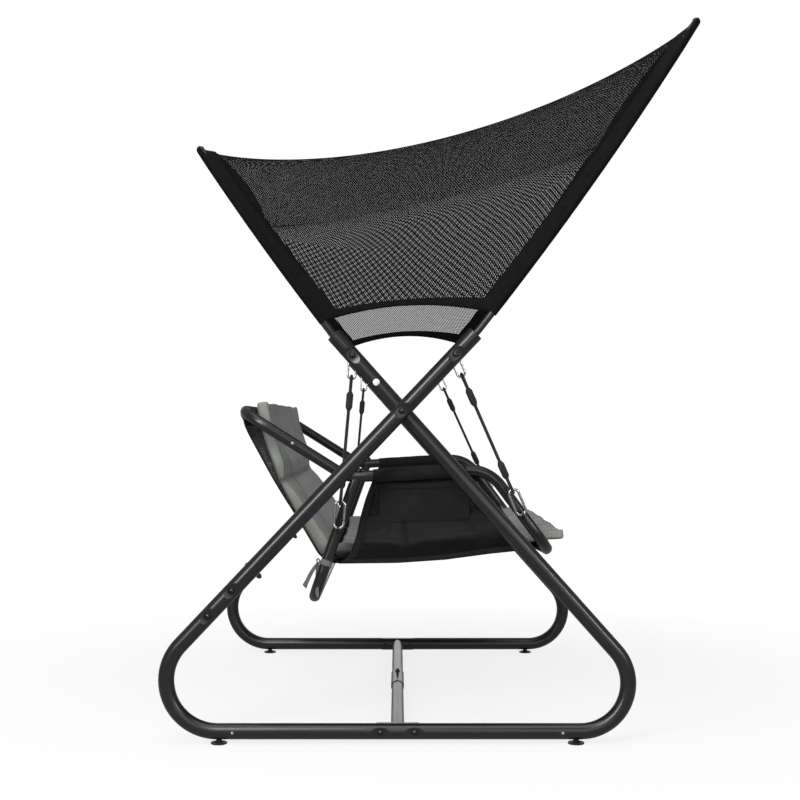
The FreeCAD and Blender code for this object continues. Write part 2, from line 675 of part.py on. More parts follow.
def back_bow_line():
    seam = on_side_tube(SEAT_SEAM_F)
    ends = [seat_at(side, seam) for side in (-1, 1)]
    gap = [unit(seat_at(side, BACK_RAIL) - end) * 0.4 for side, end in zip((-1, 1), ends)]
    points = [ends[0] + gap[0], seat_at(-1, BACK_RAIL), seat_at(1, BACK_RAIL), ends[1] + gap[1]]
    return rounded_edges(points, [SEAT_BEND_R] * 2)


def seat_back_bow():
    tube = pipe(back_bow_line(), SEAT_R, WALL)
    return seat_snap_hole(seat_snap_hole(tube, -1), 1)


def under_bow_line():
    places = [(-1, UNDER_BOW_TOP), (-1, UNDER_BOW), (1, UNDER_BOW), (1, UNDER_BOW_TOP)]
    return rounded_edges([seat_at(side, place) for side, place in places], [SEAT_BEND_R] * 2)


def clear_of_arm(shape, side):
    """The shape less the space of the arm tube on both sides of its elbow."""
    elbow = seat_at(side, ELBOW)
    for end in (seat_at(side, ARM_FRONT), seat_at(side, BACK_RAIL)):
        shape = shape.cut(rod(elbow, end, SEAT_R + 0.1))
    return shape


def seat_rear_bow():
    tube = pipe(under_bow_line(), SEAT_R, WALL)
    tube = clear_of_arm(clear_of_arm(tube, -1), 1)
    return max(tube.Solids, key=lambda solid: solid.Volume)


def bow_bolt_line(side):
    top = seat_at(side, UNDER_BOW_TOP)
    return top, unit(seat_at(side, UNDER_BOW) - top)


def bow_bolt(side, front_bow):
    """Bolt through the arm tube, down the axis of the under-bow's leg into its end plug."""
    top, down = bow_bolt_line(side)
    plug = rod(top + down * (SEAT_R + 4), top + down * (SEAT_R + 34), SEAT_R - WALL - 0.1)
    bolt = button_bolt(top - down * (SEAT_R + 1.6), down, 2 * SEAT_R + 30, nut=False)
    return bolt.cut(front_bow).fuse(clear_of_arm(plug, side))


def leg_at(z):
    share = (z - UNDER_BOW_TOP[1]) / (UNDER_BOW[1] - UNDER_BOW_TOP[1])
    return (UNDER_BOW_TOP[0] + share * (UNDER_BOW[0] - UNDER_BOW_TOP[0]), z)


def front_tube_at(z):
    share = (z - ARM_FRONT[1]) / (FRONT_RAIL[1] - ARM_FRONT[1])
    return (ARM_FRONT[0] + share * (FRONT_RAIL[0] - ARM_FRONT[0]), z)


def rope_ends(side, front):
    """Upper and lower bearing points of a rope, where its hooks hang in the eyes."""
    place = rear_diagonal_at if front else front_leg_at
    spot = place(side, HANG_Z)
    bearing = EYE_R
    top_centre = FreeCAD.Vector(side * hang_x(place, side), spot.y, spot.z)
    low = front_tube_at(FRONT_EYE_Z) if front else leg_at(REAR_EYE_Z)
    low_centre = seat_at(side, low, EYE_X)
    up = unit(top_centre - low_centre)
    return top_centre - FreeCAD.Vector(0, 0, bearing), low_centre + up * bearing, low_centre


def seat_eye(side, front):
    """Ring on a short stem on the outer side of a seat tube, turned to face its rope."""
    top, low, centre = rope_ends(side, front)
    up = unit(top - low)
    normal = unit(up.cross(FreeCAD.Vector(1, 0, 0)))
    ring = Part.makeTorus(EYE_R, EYE_WIRE, centre, normal)
    start = FreeCAD.Vector(side * (SEAT_X + SEAT_R - 1.2), centre.y, centre.z)
    end = FreeCAD.Vector(side * (EYE_X - EYE_R + 1), centre.y, centre.z)
    stem = rod(start, end, 5)
    tube_dir = (unit(seat_at(side, FRONT_RAIL) - seat_at(side, ARM_FRONT)) if front
                else unit(seat_at(side, UNDER_BOW) - seat_at(side, UNDER_BOW_TOP)))
    tube_mid = FreeCAD.Vector(side * SEAT_X, centre.y, centre.z)
    eye = ring.fuse(stem)
    return eye.cut(rod(tube_mid - tube_dir * 40, tube_mid + tube_dir * 40, SEAT_R + 0.05))


# ---- ropes and snap hooks ----
def rope_frame(side, front):
    """A rope's bearing points, its direction, and the level direction towards the bench's front."""
    top, low, _ = rope_ends(side, front)
    up = unit(top - low)
    ahead = unit(FreeCAD.Vector(1, 0, 0).cross(up))
    return top, low, up, ahead


def hook_centre(side, front, upper):
    """Middle of a snap hook. The front lower hooks get the play that the linkage needs."""
    top, low, up, _ = rope_frame(side, front)
    wire, bend, half = UPPER_HOOK if upper else LOWER_HOOK
    bearing = wire + EYE_WIRE + GAP + (LINKAGE_PLAY if front and not upper else 0)
    if upper:
        return top + up * (bearing - bend - half)
    return low - up * (bearing - bend - half)


def hook_body(side, front, upper):
    wire, bend, half = UPPER_HOOK if upper else LOWER_HOOK
    centre = hook_centre(side, front, upper)
    _, _, up, ahead = rope_frame(side, front)

    def spot(along, across):
        return centre + up * along + ahead * across
    gate = half * GATE_SHARE
    edges = [
        Part.LineSegment(spot(-gate, bend), spot(-half, bend)).toShape(),
        Part.Arc(spot(-half, bend), spot(-half - bend, 0), spot(-half, -bend)).toShape(),
        Part.LineSegment(spot(-half, -bend), spot(half, -bend)).toShape(),
        Part.Arc(spot(half, -bend), spot(half + bend, 0), spot(half, bend)).toShape(),
        Part.LineSegment(spot(half, bend), spot(gate, bend)).toShape(),
    ]
    return sweep(edges, wire)


def gate_pivot(side, front, upper):
    wire, bend, half = UPPER_HOOK if upper else LOWER_HOOK
    _, _, up, ahead = rope_frame(side, front)
    return hook_centre(side, front, upper) - up * (half * GATE_SHARE - wire - 0.3) + ahead * bend


def hook_gate(side, front, upper):
    wire, _, half = UPPER_HOOK if upper else LOWER_HOOK
    _, _, up, _ = rope_frame(side, front)
    pivot = gate_pivot(side, front, upper)
    length = 2 * half * GATE_SHARE - wire - 3 * GAP
    radius = wire - 0.2
    return rod(pivot, pivot + up * length, radius).fuse(Part.makeSphere(radius, pivot))


def rope(side, front):
    """Rope with a spliced eye and a whipped sleeve at each end."""
    _, _, up, _ = rope_frame(side, front)
    across = FreeCAD.Vector(1, 0, 0)
    across = unit(across - up * across.dot(up))
    loops, sleeves, ends = [], [], []
    for upper in (True, False):
        wire, bend, half = UPPER_HOOK if upper else LOWER_HOOK
        inward = up * (-1 if upper else 1)
        bar = hook_centre(side, front, upper) + inward * (half + bend)
        loop_r = wire + ROPE_R + GAP
        throat = bar + inward * SPLICE
        legs = []
        for hand in (1, -1):
            root = throat + inward * 5 + across * hand * (ROPE_R - 0.2)
            mouth = throat + across * hand * (ROPE_R - 0.2)
            legs.append(rounded_edges([root, mouth, bar + across * hand * loop_r + inward * 7,
                                       bar + across * hand * loop_r], [14.0, 14.0]))
        turn = Part.Arc(bar + across * loop_r, bar - inward * loop_r, bar - across * loop_r).toShape()
        mirrored = [Part.Edge(edge) for edge in legs[1][::-1]]
        loops.append(sweep(legs[0] + [turn] + mirrored, ROPE_R - 0.6))
        ends.append(throat + inward * (2 + SLEEVE))
        sleeves.append(rod(throat + inward * 2, ends[-1], SLEEVE_R))
    sleeves = [sleeve.makeFillet(2.5, sleeve.Edges) for sleeve in sleeves]
    run = rod(ends[0], ends[1], ROPE_R)
    loops = [loop.cut(sleeve) for loop, sleeve in zip(loops, sleeves)]
    return loops + sleeves + [run]


# ---- seat textiles ----
def offset_line(places, distance):
    """Side-view line moved to its left (up, for a line that runs forward), with mitred corners."""
    normals = []
    for (f0, z0), (f1, z1) in zip(places, places[1:]):
        size = math.hypot(f1 - f0, z1 - z0)
        normals.append(((z0 - z1) / size, (f1 - f0) / size))
    moved = []
    for i, (f, z) in enumerate(places):
        one = normals[max(i - 1, 0)]
        two = normals[min(i, len(normals) - 1)]
        share = distance / (1 + one[0] * two[0] + one[1] * two[1])
        moved.append((f + (one[0] + two[0]) * share, z + (one[1] + two[1]) * share))
    return moved


def extruded(places, half_width):
    """A closed side-view outline carried across the seat."""
    points = [at(-half_width, f, z) for f, z in places]
    face = Part.Face(Part.makePolygon(points + [points[0]]))
    return face.extrude(FreeCAD.Vector(2 * half_width, 0, 0))


def layer(places, low, high, half_width):
    """A sheet or slab between two offsets of a side-view line."""
    return extruded(offset_line(places, low) + offset_line(places, high)[::-1], half_width)


def seat_sling():
    """Mesh from the back rail to the front rail, its top corners cut round the back rail's bends."""
    sheet = layer(SLING_BACK + SLING_PAN, -MESH / 2, MESH / 2, PANEL_X - GAP)
    sheet = sheet.cut(sweep(back_bow_line(), SEAT_R + 0.6))
    return max(sheet.Solids, key=lambda solid: solid.Volume)


def side_panel(side):
    """Flat panel from the arm tube down to the sling's edge."""
    arm_low = [(-96.0, ARM_FRONT[1] - 35), (222.0, ARM_FRONT[1] - 20)]
    front_low, rear_low = [(318.0, 600.0), (380.0, 520.0)], [(-176.0, 480.0), (-138.0, 570.0)]
    places = arm_low + front_low + SLING_PAN[3:0:-1] + rear_low
    outline = [at(side * PANEL_X, f, z) for f, z in places]
    face = Part.Face(Part.makePolygon(outline + [outline[0]]))
    return face.extrude(FreeCAD.Vector(side * MESH, 0, 0))


def arm_sleeve(side):
    direction = unit(seat_at(side, ARM_FRONT) - seat_at(side, ELBOW))
    start = seat_at(side, ELBOW) + direction * 72
    end = seat_at(side, ARM_FRONT) - direction * 62
    return rod(start, end, SEAT_R + 2.2).cut(rod(start, end, SEAT_R + 0.2))


def side_pocket(side):
    places = [(-58, 712), (206, 722), (206, 604), (-50, 596)]
    outline = [at(side * (PANEL_X + MESH + 0.1), f, z) for f, z in places]
    face = Part.Face(Part.makePolygon(outline + [outline[0]]))
    return face.extrude(FreeCAD.Vector(side * 1.6, 0, 0))


def cushion_back():
    """Two tufted segments, resting on the mesh below and standing free of it at the top."""
    rest = MESH / 2 + GAP + 0.3
    face = offset_line(SLING_BACK, rest)
    tuft = face[1]
    upper = [(tuft[0], TUFT_Z + 3)] + PAD_TOP
    lower = [(tuft[0], TUFT_Z), (face[2][0] - 6, face[2][1] + 10)]
    return [layer(line, 0, PAD, PAD_X) for line in (upper[::-1], lower)]


def cushion_seat():
    """One slab on the pan, its nose over the front rail."""
    rest = MESH / 2 + GAP + 0.3
    pan = offset_line(SLING_PAN, rest)[:4]
    start = (PAD_REAR, pan[0][1] + 1)
    return layer([start] + pan[1:] + PAD_NOSE, 0, PAD - 4, PAD_X)


def cushion_tie(side):
    """Ribbon knotted round the under-bow's leg, with two hanging tails."""
    low, high = leg_at(TIE_Z - 7), leg_at(TIE_Z + 7)
    start, end = seat_at(side, low), seat_at(side, high)
    band = rod(start, end, SEAT_R + 1.8).cut(rod(start, end, SEAT_R + 0.15))
    knot = Part.makeSphere(8, seat_at(side, (low[0] - SEAT_R - 7, TIE_Z)))
    tails = []
    for reach, drop, lift in ((-38.0, 76.0, 0.0), (-14.0, 98.0, 3.0)):
        f0, z0 = low[0] - SEAT_R - 9 + lift, TIE_Z - 6
        places = [(f0, z0), (f0 + reach, z0 - drop)]
        tail = layer(places, -0.6, 0.6, 7)
        tail.translate(FreeCAD.Vector(side * SEAT_X, 0, 0))
        tails.append(tail)
    piece = band.fuse([knot] + tails)
    return piece.cut(sweep(under_bow_line(), SEAT_R + 0.15))


os.makedirs("parts", exist_ok=True)

for name, side in SIDES:
    save("base_rail_" + name, base_rail(side))
    save("front_leg_" + name, front_leg(side))
    save("rear_bend_" + name, rear_bend(side))
    save("rear_diagonal_" + name, rear_diagonal(side))
    for end, sign in (("front", 1), ("rear", -1)):
        save("levelling_foot_" + end + "_" + name, levelling_foot(side, sign))
        spot = at(side * SIDE_X, sign * SNAP_F, RAIL_Z)
        save("snap_button_" + end + "_" + name, snap_button(spot, FreeCAD.Vector(side, 0, 0), TUBE_R))
        save("canopy_arm_" + end + "_" + name, canopy_arm(side, sign > 0))
    save("seat_button_" + name, snap_button(seat_snap_spot(side), FreeCAD.Vector(side, 0, 0), SEAT_R))

save("joint_sleeves", [joint_sleeve(side) for _, side in SIDES])
save("frame_bolts", [bolt for _, side in SIDES for bolt in frame_bolts(side)])
save("crossing_spacers", [crossing_spacer(side) for _, side in SIDES])
save("hang_eyes", [hang_eye(place, side) for _, side in SIDES for place in (front_leg_at, rear_diagonal_at)])
save("hole_plugs", [hole_plug(side) for _, side in SIDES])
save("crossbar_left", crossbar_half(1))
save("crossbar_right", crossbar_half(-1))
save("crossbar_saddles", [saddle(side) for _, side in SIDES])
save("crossbar_bolts", crossbar_bolts())
save("rear_crossbar", rear_crossbar())
save("rear_stubs", [rear_stub(side) for _, side in SIDES])
save("socket_plugs", [socket_plug(side, front) for _, side in SIDES for front in (True, False)])
save("arm_caps", [arm_cap(side, front) for _, side in SIDES for front in (True, False)])
save("canopy_sleeves", [canopy_sleeve(side, front) for _, side in SIDES for front in (True, False)])
save("canopy_fabric", canopy_fabric())
front_bow = seat_front_bow()
save("seat_front_bow", front_bow)
save("seat_back_bow", seat_back_bow())
save("seat_rear_bow", seat_rear_bow())
save("bow_bolts", [bow_bolt(side, front_bow) for _, side in SIDES])
save("seat_eyes", [seat_eye(side, front) for _, side in SIDES for front in (True, False)])
for end, front in (("front", True), ("rear", False)):
    save(end + "_ropes", [piece for _, side in SIDES for piece in rope(side, front)])
    save(end + "_hooks", [hook_body(side, front, upper) for _, side in SIDES for upper in (True, False)])
    for level, upper in (("upper", True), ("lower", False)):
        for name, side in SIDES:
            save(end + "_" + level + "_gate_" + name, hook_gate(side, front, upper))
save("seat_sling", seat_sling())
save("side_panels", [piece for _, side in SIDES for piece in (side_panel(side), arm_sleeve(side))])
save("side_pockets", [side_pocket(side) for _, side in SIDES])
save("cushion_back", cushion_back())
save("cushion_seat", cushion_seat())
save("cushion_ties", [cushion_tie(side) for _, side in SIDES])
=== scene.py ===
import json
import math

import bpy
import numpy as np
from mathutils import Matrix, Vector


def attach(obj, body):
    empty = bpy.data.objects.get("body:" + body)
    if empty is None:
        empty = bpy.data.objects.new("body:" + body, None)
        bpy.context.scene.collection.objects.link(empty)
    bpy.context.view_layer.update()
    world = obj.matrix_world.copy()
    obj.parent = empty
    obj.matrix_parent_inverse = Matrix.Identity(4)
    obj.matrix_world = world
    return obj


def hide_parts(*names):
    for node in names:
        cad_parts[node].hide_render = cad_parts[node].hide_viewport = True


# Canopy swing bench: fabric, ropes, cushions, finishes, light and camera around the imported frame.
# Metres, +Z up, the bench faces -Y. "Forward" is the distance in front of the base rails' middle.

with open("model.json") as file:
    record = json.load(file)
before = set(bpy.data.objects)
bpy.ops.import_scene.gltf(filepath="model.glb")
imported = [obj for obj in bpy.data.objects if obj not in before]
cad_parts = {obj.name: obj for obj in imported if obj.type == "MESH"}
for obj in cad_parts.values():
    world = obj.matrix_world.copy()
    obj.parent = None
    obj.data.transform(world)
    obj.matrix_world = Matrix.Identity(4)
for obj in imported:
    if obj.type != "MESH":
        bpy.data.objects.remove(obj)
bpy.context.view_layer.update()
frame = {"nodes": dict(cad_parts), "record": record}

SHIFT = 0.08617
SIDES = (("right", -1), ("left", 1))


def at(x, forward, z):
    return Vector((x, SHIFT - forward, z))


def smooth(low, high, value):
    t = min(1.0, max(0.0, (value - low) / (high - low)))
    return t * t * (3 - 2 * t)


# ---- materials ----
class Paint:
    """A Principled material with helpers for its pattern nodes."""

    def __init__(self, name, color, roughness, metallic=0.0, **plain):
        self.mat = bpy.data.materials.new(name)
        self.mat.use_nodes = True
        self.tree = self.mat.node_tree
        self.shader = self.tree.nodes["Principled BSDF"]
        self.shader.inputs["Base Color"].default_value = (*color, 1)
        self.shader.inputs["Roughness"].default_value = roughness
        self.shader.inputs["Metallic"].default_value = metallic
        for key, value in plain.items():
            self.shader.inputs[key.replace("_", " ")].default_value = value

    def node(self, kind, **settings):
        made = self.tree.nodes.new("ShaderNode" + kind)
        for key, value in settings.items():
            if key in made.inputs:
                made.inputs[key].default_value = value
            else:
                setattr(made, key, value)
        return made

    def link(self, source, target):
        self.tree.links.new(source, target)

    def math(self, operation, one, two=None):
        made = self.node("Math", operation=operation)
        for socket, value in zip(made.inputs, (one, two)):
            if value is None:
                continue
            if isinstance(value, (int, float)):
                socket.default_value = value
            else:
                self.link(value, socket)
        return made.outputs[0]

    def noise(self, scale, detail=3.0):
        made = self.node("TexNoise", Scale=scale, Detail=detail, Roughness=0.55)
        self.link(self.node("TexCoord").outputs["Object"], made.inputs["Vector"])
        return made.outputs["Fac"]

    def spread(self, factor, low, high, start=0.3, end=0.7):
        made = self.node("MapRange")
        made.inputs["From Min"].default_value = start
        made.inputs["From Max"].default_value = end
        made.inputs["To Min"].default_value = low
        made.inputs["To Max"].default_value = high
        self.link(factor, made.inputs["Value"])
        return made.outputs["Result"]

    def blend(self, factor, one, two):
        made = self.node("Mix", data_type="RGBA")
        self.link(factor, made.inputs[0])
        for socket, value in ((made.inputs[6], one), (made.inputs[7], two)):
            if isinstance(value, tuple):
                socket.default_value = (*value, 1)
            else:
                self.link(value, socket)
        return made.outputs[2]

    def color(self, source):
        self.link(source, self.shader.inputs["Base Color"])

    def mottle(self, tone, scale, gain, lift, detail=3.0):
        """Patches of the tone and of a lighter one, gain times the tone plus lift."""
        patches = self.spread(self.noise(scale, detail), 0.0, 1.0)
        self.color(self.blend(patches, tone, tuple(c * gain + lift for c in tone)))

    def rough(self, source):
        self.link(source, self.shader.inputs["Roughness"])

    def bump(self, height, strength, distance):
        made = self.node("Bump", Strength=strength, Distance=distance)
        self.link(height, made.inputs["Height"])
        self.link(made.outputs[0], self.shader.inputs["Normal"])

    def threads(self, pitch_u, pitch_v):
        """Height of two crossing yarns, from the UV map, which is in metres."""
        split = self.node("SeparateXYZ")
        self.link(self.node("UVMap").outputs[0], split.inputs[0])
        u, v = split.outputs[0], split.outputs[1]
        warp = self.math("ABSOLUTE", self.math("SINE", self.math("MULTIPLY", u, math.pi / pitch_u)))
        weft = self.math("ABSOLUTE", self.math("SINE", self.math("MULTIPLY", v, math.pi / pitch_v)))
        cells = self.math("ADD", self.math("DIVIDE", u, pitch_u), self.math("DIVIDE", v, pitch_v))
        over = self.math("MULTIPLY", self.math("SINE", self.math("MULTIPLY", cells, math.pi)), 0.3)
        crossing = self.math("MULTIPLY", over, self.math("SUBTRACT", warp, weft))
        return self.math("ADD", self.math("MAXIMUM", warp, weft), crossing)


def coated_steel(name, tone, rough_low, rough_high):
    """Satin powder coat with a faint orange peel and a little dust."""
    paint = Paint(name, tone, rough_low, Coat_Weight=0.55, Coat_Roughness=0.28)
    paint.rough(paint.spread(paint.noise(6.0), rough_low, rough_high))
    dust = paint.spread(paint.noise(38.0, 5.0), 0.0, 0.35, 0.55, 0.8)
    paint.color(paint.blend(dust, tone, tuple(c * 1.8 + 0.004 for c in tone)))
    paint.bump(paint.noise(180.0, 2.0), 0.012, 0.0004)
    return paint.mat


def plated_steel(name, tone, rough_low, rough_high):
    paint = Paint(name, tone, rough_low, metallic=1.0)
    paint.rough(paint.spread(paint.noise(90.0, 4.0), rough_low, rough_high))
    shade = paint.spread(paint.noise(55.0, 3.0), 0.0, 1.0)
    paint.color(paint.blend(shade, tuple(c * 0.8 for c in tone), tone))
    paint.bump(paint.noise(700.0, 2.0), 0.08, 0.0004)
    return paint.mat


def moulded(name, tone, rough):
    paint = Paint(name, tone, rough)
    paint.rough(paint.spread(paint.noise(40.0), rough - 0.06, rough + 0.08))
    paint.mottle(tone, 25.0, 1.25, 0.003)
    paint.bump(paint.noise(900.0, 2.0), 0.15, 0.0005)
    return paint.mat


def open_weave(name, tone, pitch_u, pitch_v, tight, sheen):
    """Coated polyester net: staggered gaps between its threads let light through.

    tight runs from -1 to 1 and is larger for smaller gaps.
    """
    paint = Paint(name, tone, 0.85, Specular_IOR_Level=0.08, Sheen_Weight=sheen, Sheen_Roughness=0.4)
    split = paint.node("SeparateXYZ")
    paint.link(paint.node("UVMap").outputs[0], split.inputs[0])
    warp = paint.math("COSINE", paint.math("MULTIPLY", split.outputs[0], 2 * math.pi / pitch_u))
    weft = paint.math("COSINE", paint.math("MULTIPLY", split.outputs[1], 2 * math.pi / pitch_v))
    relief = paint.math("MULTIPLY", warp, weft)
    soft_edge = 0.32
    hole = paint.node("MapRange", interpolation_type="SMOOTHSTEP")
    hole.inputs["From Min"].default_value = tight - soft_edge
    hole.inputs["From Max"].default_value = tight + soft_edge
    paint.link(relief, hole.inputs["Value"])
    paint.link(paint.math("SUBTRACT", 1.0, hole.outputs["Result"]), paint.shader.inputs["Alpha"])
    paint.mottle(tone, 60.0, 1.4, 0.002)
    paint.bump(paint.math("SUBTRACT", 1.0, relief), 0.5, 0.0007)
    return paint.mat


def band_cloth(name, tone, pitch=0.0012, strength=0.5, sheen=0.06, shine=0.3):
    """Dense webbing or doubled hem cloth."""
    paint = Paint(name, tone, 0.8, Specular_IOR_Level=shine, Sheen_Weight=sheen, Sheen_Roughness=0.45)
    paint.mottle(tone, 45.0, 1.35, 0.002, detail=4.0)
    paint.bump(paint.threads(pitch, pitch * 1.15), strength, 0.0005)
    return paint.mat


def cushion_cloth(name, tone):
    """Melange outdoor canvas; a point attribute from the cushions darkens the sewn channels and rim seams:
    painted shade where the puffed cloth folds in.
    """
    paint = Paint(name, tone, 0.85, Specular_IOR_Level=0.25, Sheen_Weight=0.35, Sheen_Roughness=0.5)
    split = paint.node("SeparateXYZ")
    paint.link(paint.node("TexCoord").outputs["Object"], split.inputs[0])
    yarns = []
    for axis, pitch in ((0, 0.00085), (1, 0.0009), (2, 0.0009)):
        yarns.append(paint.math("ABSOLUTE", paint.math("SINE", paint.math(
            "MULTIPLY", split.outputs[axis], math.pi / pitch))))
    weave = paint.math("MULTIPLY", paint.math("ADD", paint.math("ADD", yarns[0], yarns[1]), yarns[2]), 0.33)
    fleck = paint.spread(paint.noise(650.0, 2.0), 0.0, 1.0, 0.35, 0.65)
    patch = paint.spread(paint.noise(9.0, 4.0), 0.0, 0.4)
    light = tuple(min(1.0, c * 1.16) for c in tone)
    dark = tuple(c * 0.78 for c in tone)
    body = paint.blend(patch, paint.blend(fleck, dark, light), tone)
    # Painted shade: the sewn channels and rim seams are darkened to 0.38 of the cloth's tone.
    seam_shade = paint.node("Attribute", attribute_name="seam_shade")
    paint.color(paint.blend(seam_shade.outputs["Fac"], body, tuple(c * 0.38 for c in tone)))
    folds = paint.math("ADD", weave, paint.math("MULTIPLY", paint.noise(34.0, 3.0), 1.4))
    paint.bump(folds, 0.45, 0.0009)
    return paint.mat


def braided(name, tone):
    """Polyester rope; the braid itself is in the mesh, this adds the yarn."""
    paint = Paint(name, tone, 0.7, Specular_IOR_Level=0.35, Sheen_Weight=0.4, Sheen_Roughness=0.4)
    paint.mottle(tone, 220.0, 2.0, 0.006)
    paint.bump(paint.threads(0.0016, 0.0011), 0.5, 0.0004)
    return paint.mat


MATS = {
    "frame_paint": coated_steel("powder_coat_frame", (0.009, 0.009, 0.0098), 0.29, 0.36),
    "arm_paint": coated_steel("powder_coat_arm", (0.008, 0.008, 0.0085), 0.32, 0.40),
    "seat_paint": coated_steel("powder_coat_seat", (0.009, 0.009, 0.0098), 0.29, 0.36),
    "bolt_black": plated_steel("black_oxide", (0.07, 0.07, 0.075), 0.22, 0.36),
    "zinc": plated_steel("zinc_plate", (0.72, 0.72, 0.72), 0.25, 0.4),
    "hook_steel": plated_steel("bright_zinc", (0.8, 0.8, 0.8), 0.16, 0.3),
    "black_plastic": moulded("black_nylon", (0.012, 0.012, 0.012), 0.45),
    "pale_plastic": moulded("pale_nylon", (0.8, 0.8, 0.8), 0.4),
    "canopy_mesh": open_weave("canopy_net", (0.0035, 0.0033, 0.0043), 0.0066, 0.0072, tight=0.25, sheen=0),
    "canopy_band": band_cloth("canopy_hem_cloth", (0.0032, 0.0032, 0.0038), sheen=0.0, shine=0.12),
    "rope": braided("rope_yarn", (0.012, 0.012, 0.013)),
    "seat_mesh": open_weave("seat_net", (0.008, 0.008, 0.009), 0.0030, 0.0034, tight=0.72, sheen=0.05),
    "seat_band": band_cloth("seat_hem_cloth", (0.0068, 0.0068, 0.0076)),
    "cushion_cloth": cushion_cloth("cushion_canvas", (0.33, 0.347, 0.31)),
    "ribbon": band_cloth("ribbon_cloth", (0.15, 0.16, 0.14), pitch=0.0009, strength=0.35, sheen=0.3),
}
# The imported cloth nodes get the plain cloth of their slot: the net is only for the new sheets.
SLOT_MATS = {"canopy_mesh": "canopy_band", "seat_mesh": "seat_band"}
for entry in frame["record"]["subparts"]:
    mesh = frame["nodes"][entry["node"]].data
    mesh.materials.clear()
    mesh.materials.append(MATS[SLOT_MATS.get(entry["material_slot"], entry["material_slot"])])


# ---- mesh helpers ----
def add(name, points, faces, material, body, uv=None):
    """A finished piece on its body. uv has one pair for each point."""
    mesh = bpy.data.meshes.new(name)
    mesh.from_pydata([tuple(p) for p in points], [], [tuple(f) for f in faces])
    mesh.materials.append(MATS[material])
    if uv is not None:
        layer = mesh.uv_layers.new(name="UVMap")
        index = np.empty(len(mesh.loops), dtype=np.int32)
        mesh.loops.foreach_get("vertex_index", index)
        layer.data.foreach_set("uv", np.asarray(uv, dtype=np.float32)[index].ravel())
    mesh.polygons.foreach_set("use_smooth", [True] * len(mesh.polygons))
    mesh.update()
    piece = bpy.data.objects.new(name, mesh)
    bpy.context.scene.collection.objects.link(piece)
    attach(piece, body)
    return piece


def grid_faces(rows, columns, wrap=False):
    """Faces of a grid of points, rows x columns; wrap closes each row."""
    faces = []
    for i in range(rows - 1):
        for j in range(columns if wrap else columns - 1):
            k = (j + 1) % columns
            faces.append((i * columns + j, i * columns + k, (i + 1) * columns + k, (i + 1) * columns + j))
    return faces


def grid_uv(grid):
    """Metre UVs of a grid of points: along each row from its middle, and down the middle column."""
    array = np.array([[tuple(p) for p in row] for row in grid], float)
    rows, columns = array.shape[:2]
    step = np.linalg.norm(np.diff(array, axis=1), axis=2)
    u = np.concatenate([np.zeros((rows, 1)), np.cumsum(step, axis=1)], axis=1)
    u -= u[:, columns // 2][:, None]
    down = np.linalg.norm(np.diff(array[:, columns // 2], axis=0), axis=1)
    v = np.concatenate([[0.0], np.cumsum(down)])
    return np.stack([u, np.repeat(v[:, None], columns, axis=1)], axis=2).reshape(-1, 2)


def distances(points):
    """Distance of each point along the line from its first."""
    out = [0.0]
    for one, two in zip(points, points[1:]):
        out.append(out[-1] + (two - one).length)
    return out


def path_frames(path):
    """Points, unit tangents, and normals carried along the path without twist."""
    points = [Vector(p) for p in path]
    tangents = []
    for i in range(len(points)):
        tangents.append((points[min(i + 1, len(points) - 1)] - points[max(i - 1, 0)]).normalized())
    normal = tangents[0].orthogonal().normalized()
    normals = []
    for tangent in tangents:
        normal = (normal - tangent * normal.dot(tangent)).normalized()
        normals.append(normal)
    return points, tangents, normals


def loft(name, path, section, segments, material, body, slot, caps=True):
    """Tube along a path; section(share, angle, length) gives the radius."""
    points, tangents, normals = path_frames(path)
    lengths = distances(points)
    verts, uv = [], []
    for i, (point, tangent, normal) in enumerate(zip(points, tangents, normals)):
        side = tangent.cross(normal)
        for j in range(segments):
            angle = 2 * math.pi * j / segments
            radius = section(i / (len(points) - 1), angle, lengths[i])
            verts.append(point + (normal * math.cos(angle) + side * math.sin(angle)) * radius)
            uv.append((lengths[i], angle * 0.006))
    faces = grid_faces(len(points), segments, wrap=True)
    if caps:
        for row, tip, out in ((0, points[0], -1), (len(points) - 1, points[-1], 1)):
            verts.append(tip)
            uv.append((0, 0))
            ring = [row * segments + j for j in range(segments)]
            for j in range(segments):
                pair = (ring[j], ring[(j + 1) % segments])
                faces.append((len(verts) - 1, *pair[::-out]))
    return add(name, verts, faces, material, body, uv)


def thicken(piece, thickness):
    solid = piece.modifiers.new("thickness", "SOLIDIFY")
    solid.thickness = thickness
    solid.offset = 0.0
    return piece


def cloth(name, grid, thickness, material, body, slot):
    """A cloth piece through a grid of points, with a real thickness."""
    points = [p for row in grid for p in row]
    piece = add(name, points, grid_faces(len(grid), len(grid[0])), material, body, grid_uv(grid))
    return thicken(piece, thickness)


def resample(path, step):
    """Points along a polyline at even steps."""
    points = [Vector(p) for p in path]
    lengths = distances(points)
    count = max(2, round(lengths[-1] / step) + 1)
    out, k = [], 0
    for i in range(count):
        want = lengths[-1] * i / (count - 1)
        while k < len(points) - 2 and lengths[k + 1] < want:
            k += 1
        share = (want - lengths[k]) / max(lengths[k + 1] - lengths[k], 1e-9)
        out.append(points[k].lerp(points[k + 1], share))
    return out


def rounded(path, radius):
    """A polyline with its inner corners rounded."""
    steps = 8
    points = [Vector(p) for p in path]
    out = [points[0]]
    for before, corner, after in zip(points, points[1:], points[2:]):
        back, ahead = (before - corner), (after - corner)
        reach = min(radius, back.length * 0.48, ahead.length * 0.48)
        start, end = corner + back.normalized() * reach, corner + ahead.normalized() * reach
        for i in range(steps + 1):
            t = i / steps
            out.append(start * (1 - t) ** 2 + corner * 2 * t * (1 - t) + end * t * t)
    out.append(points[-1])
    return out


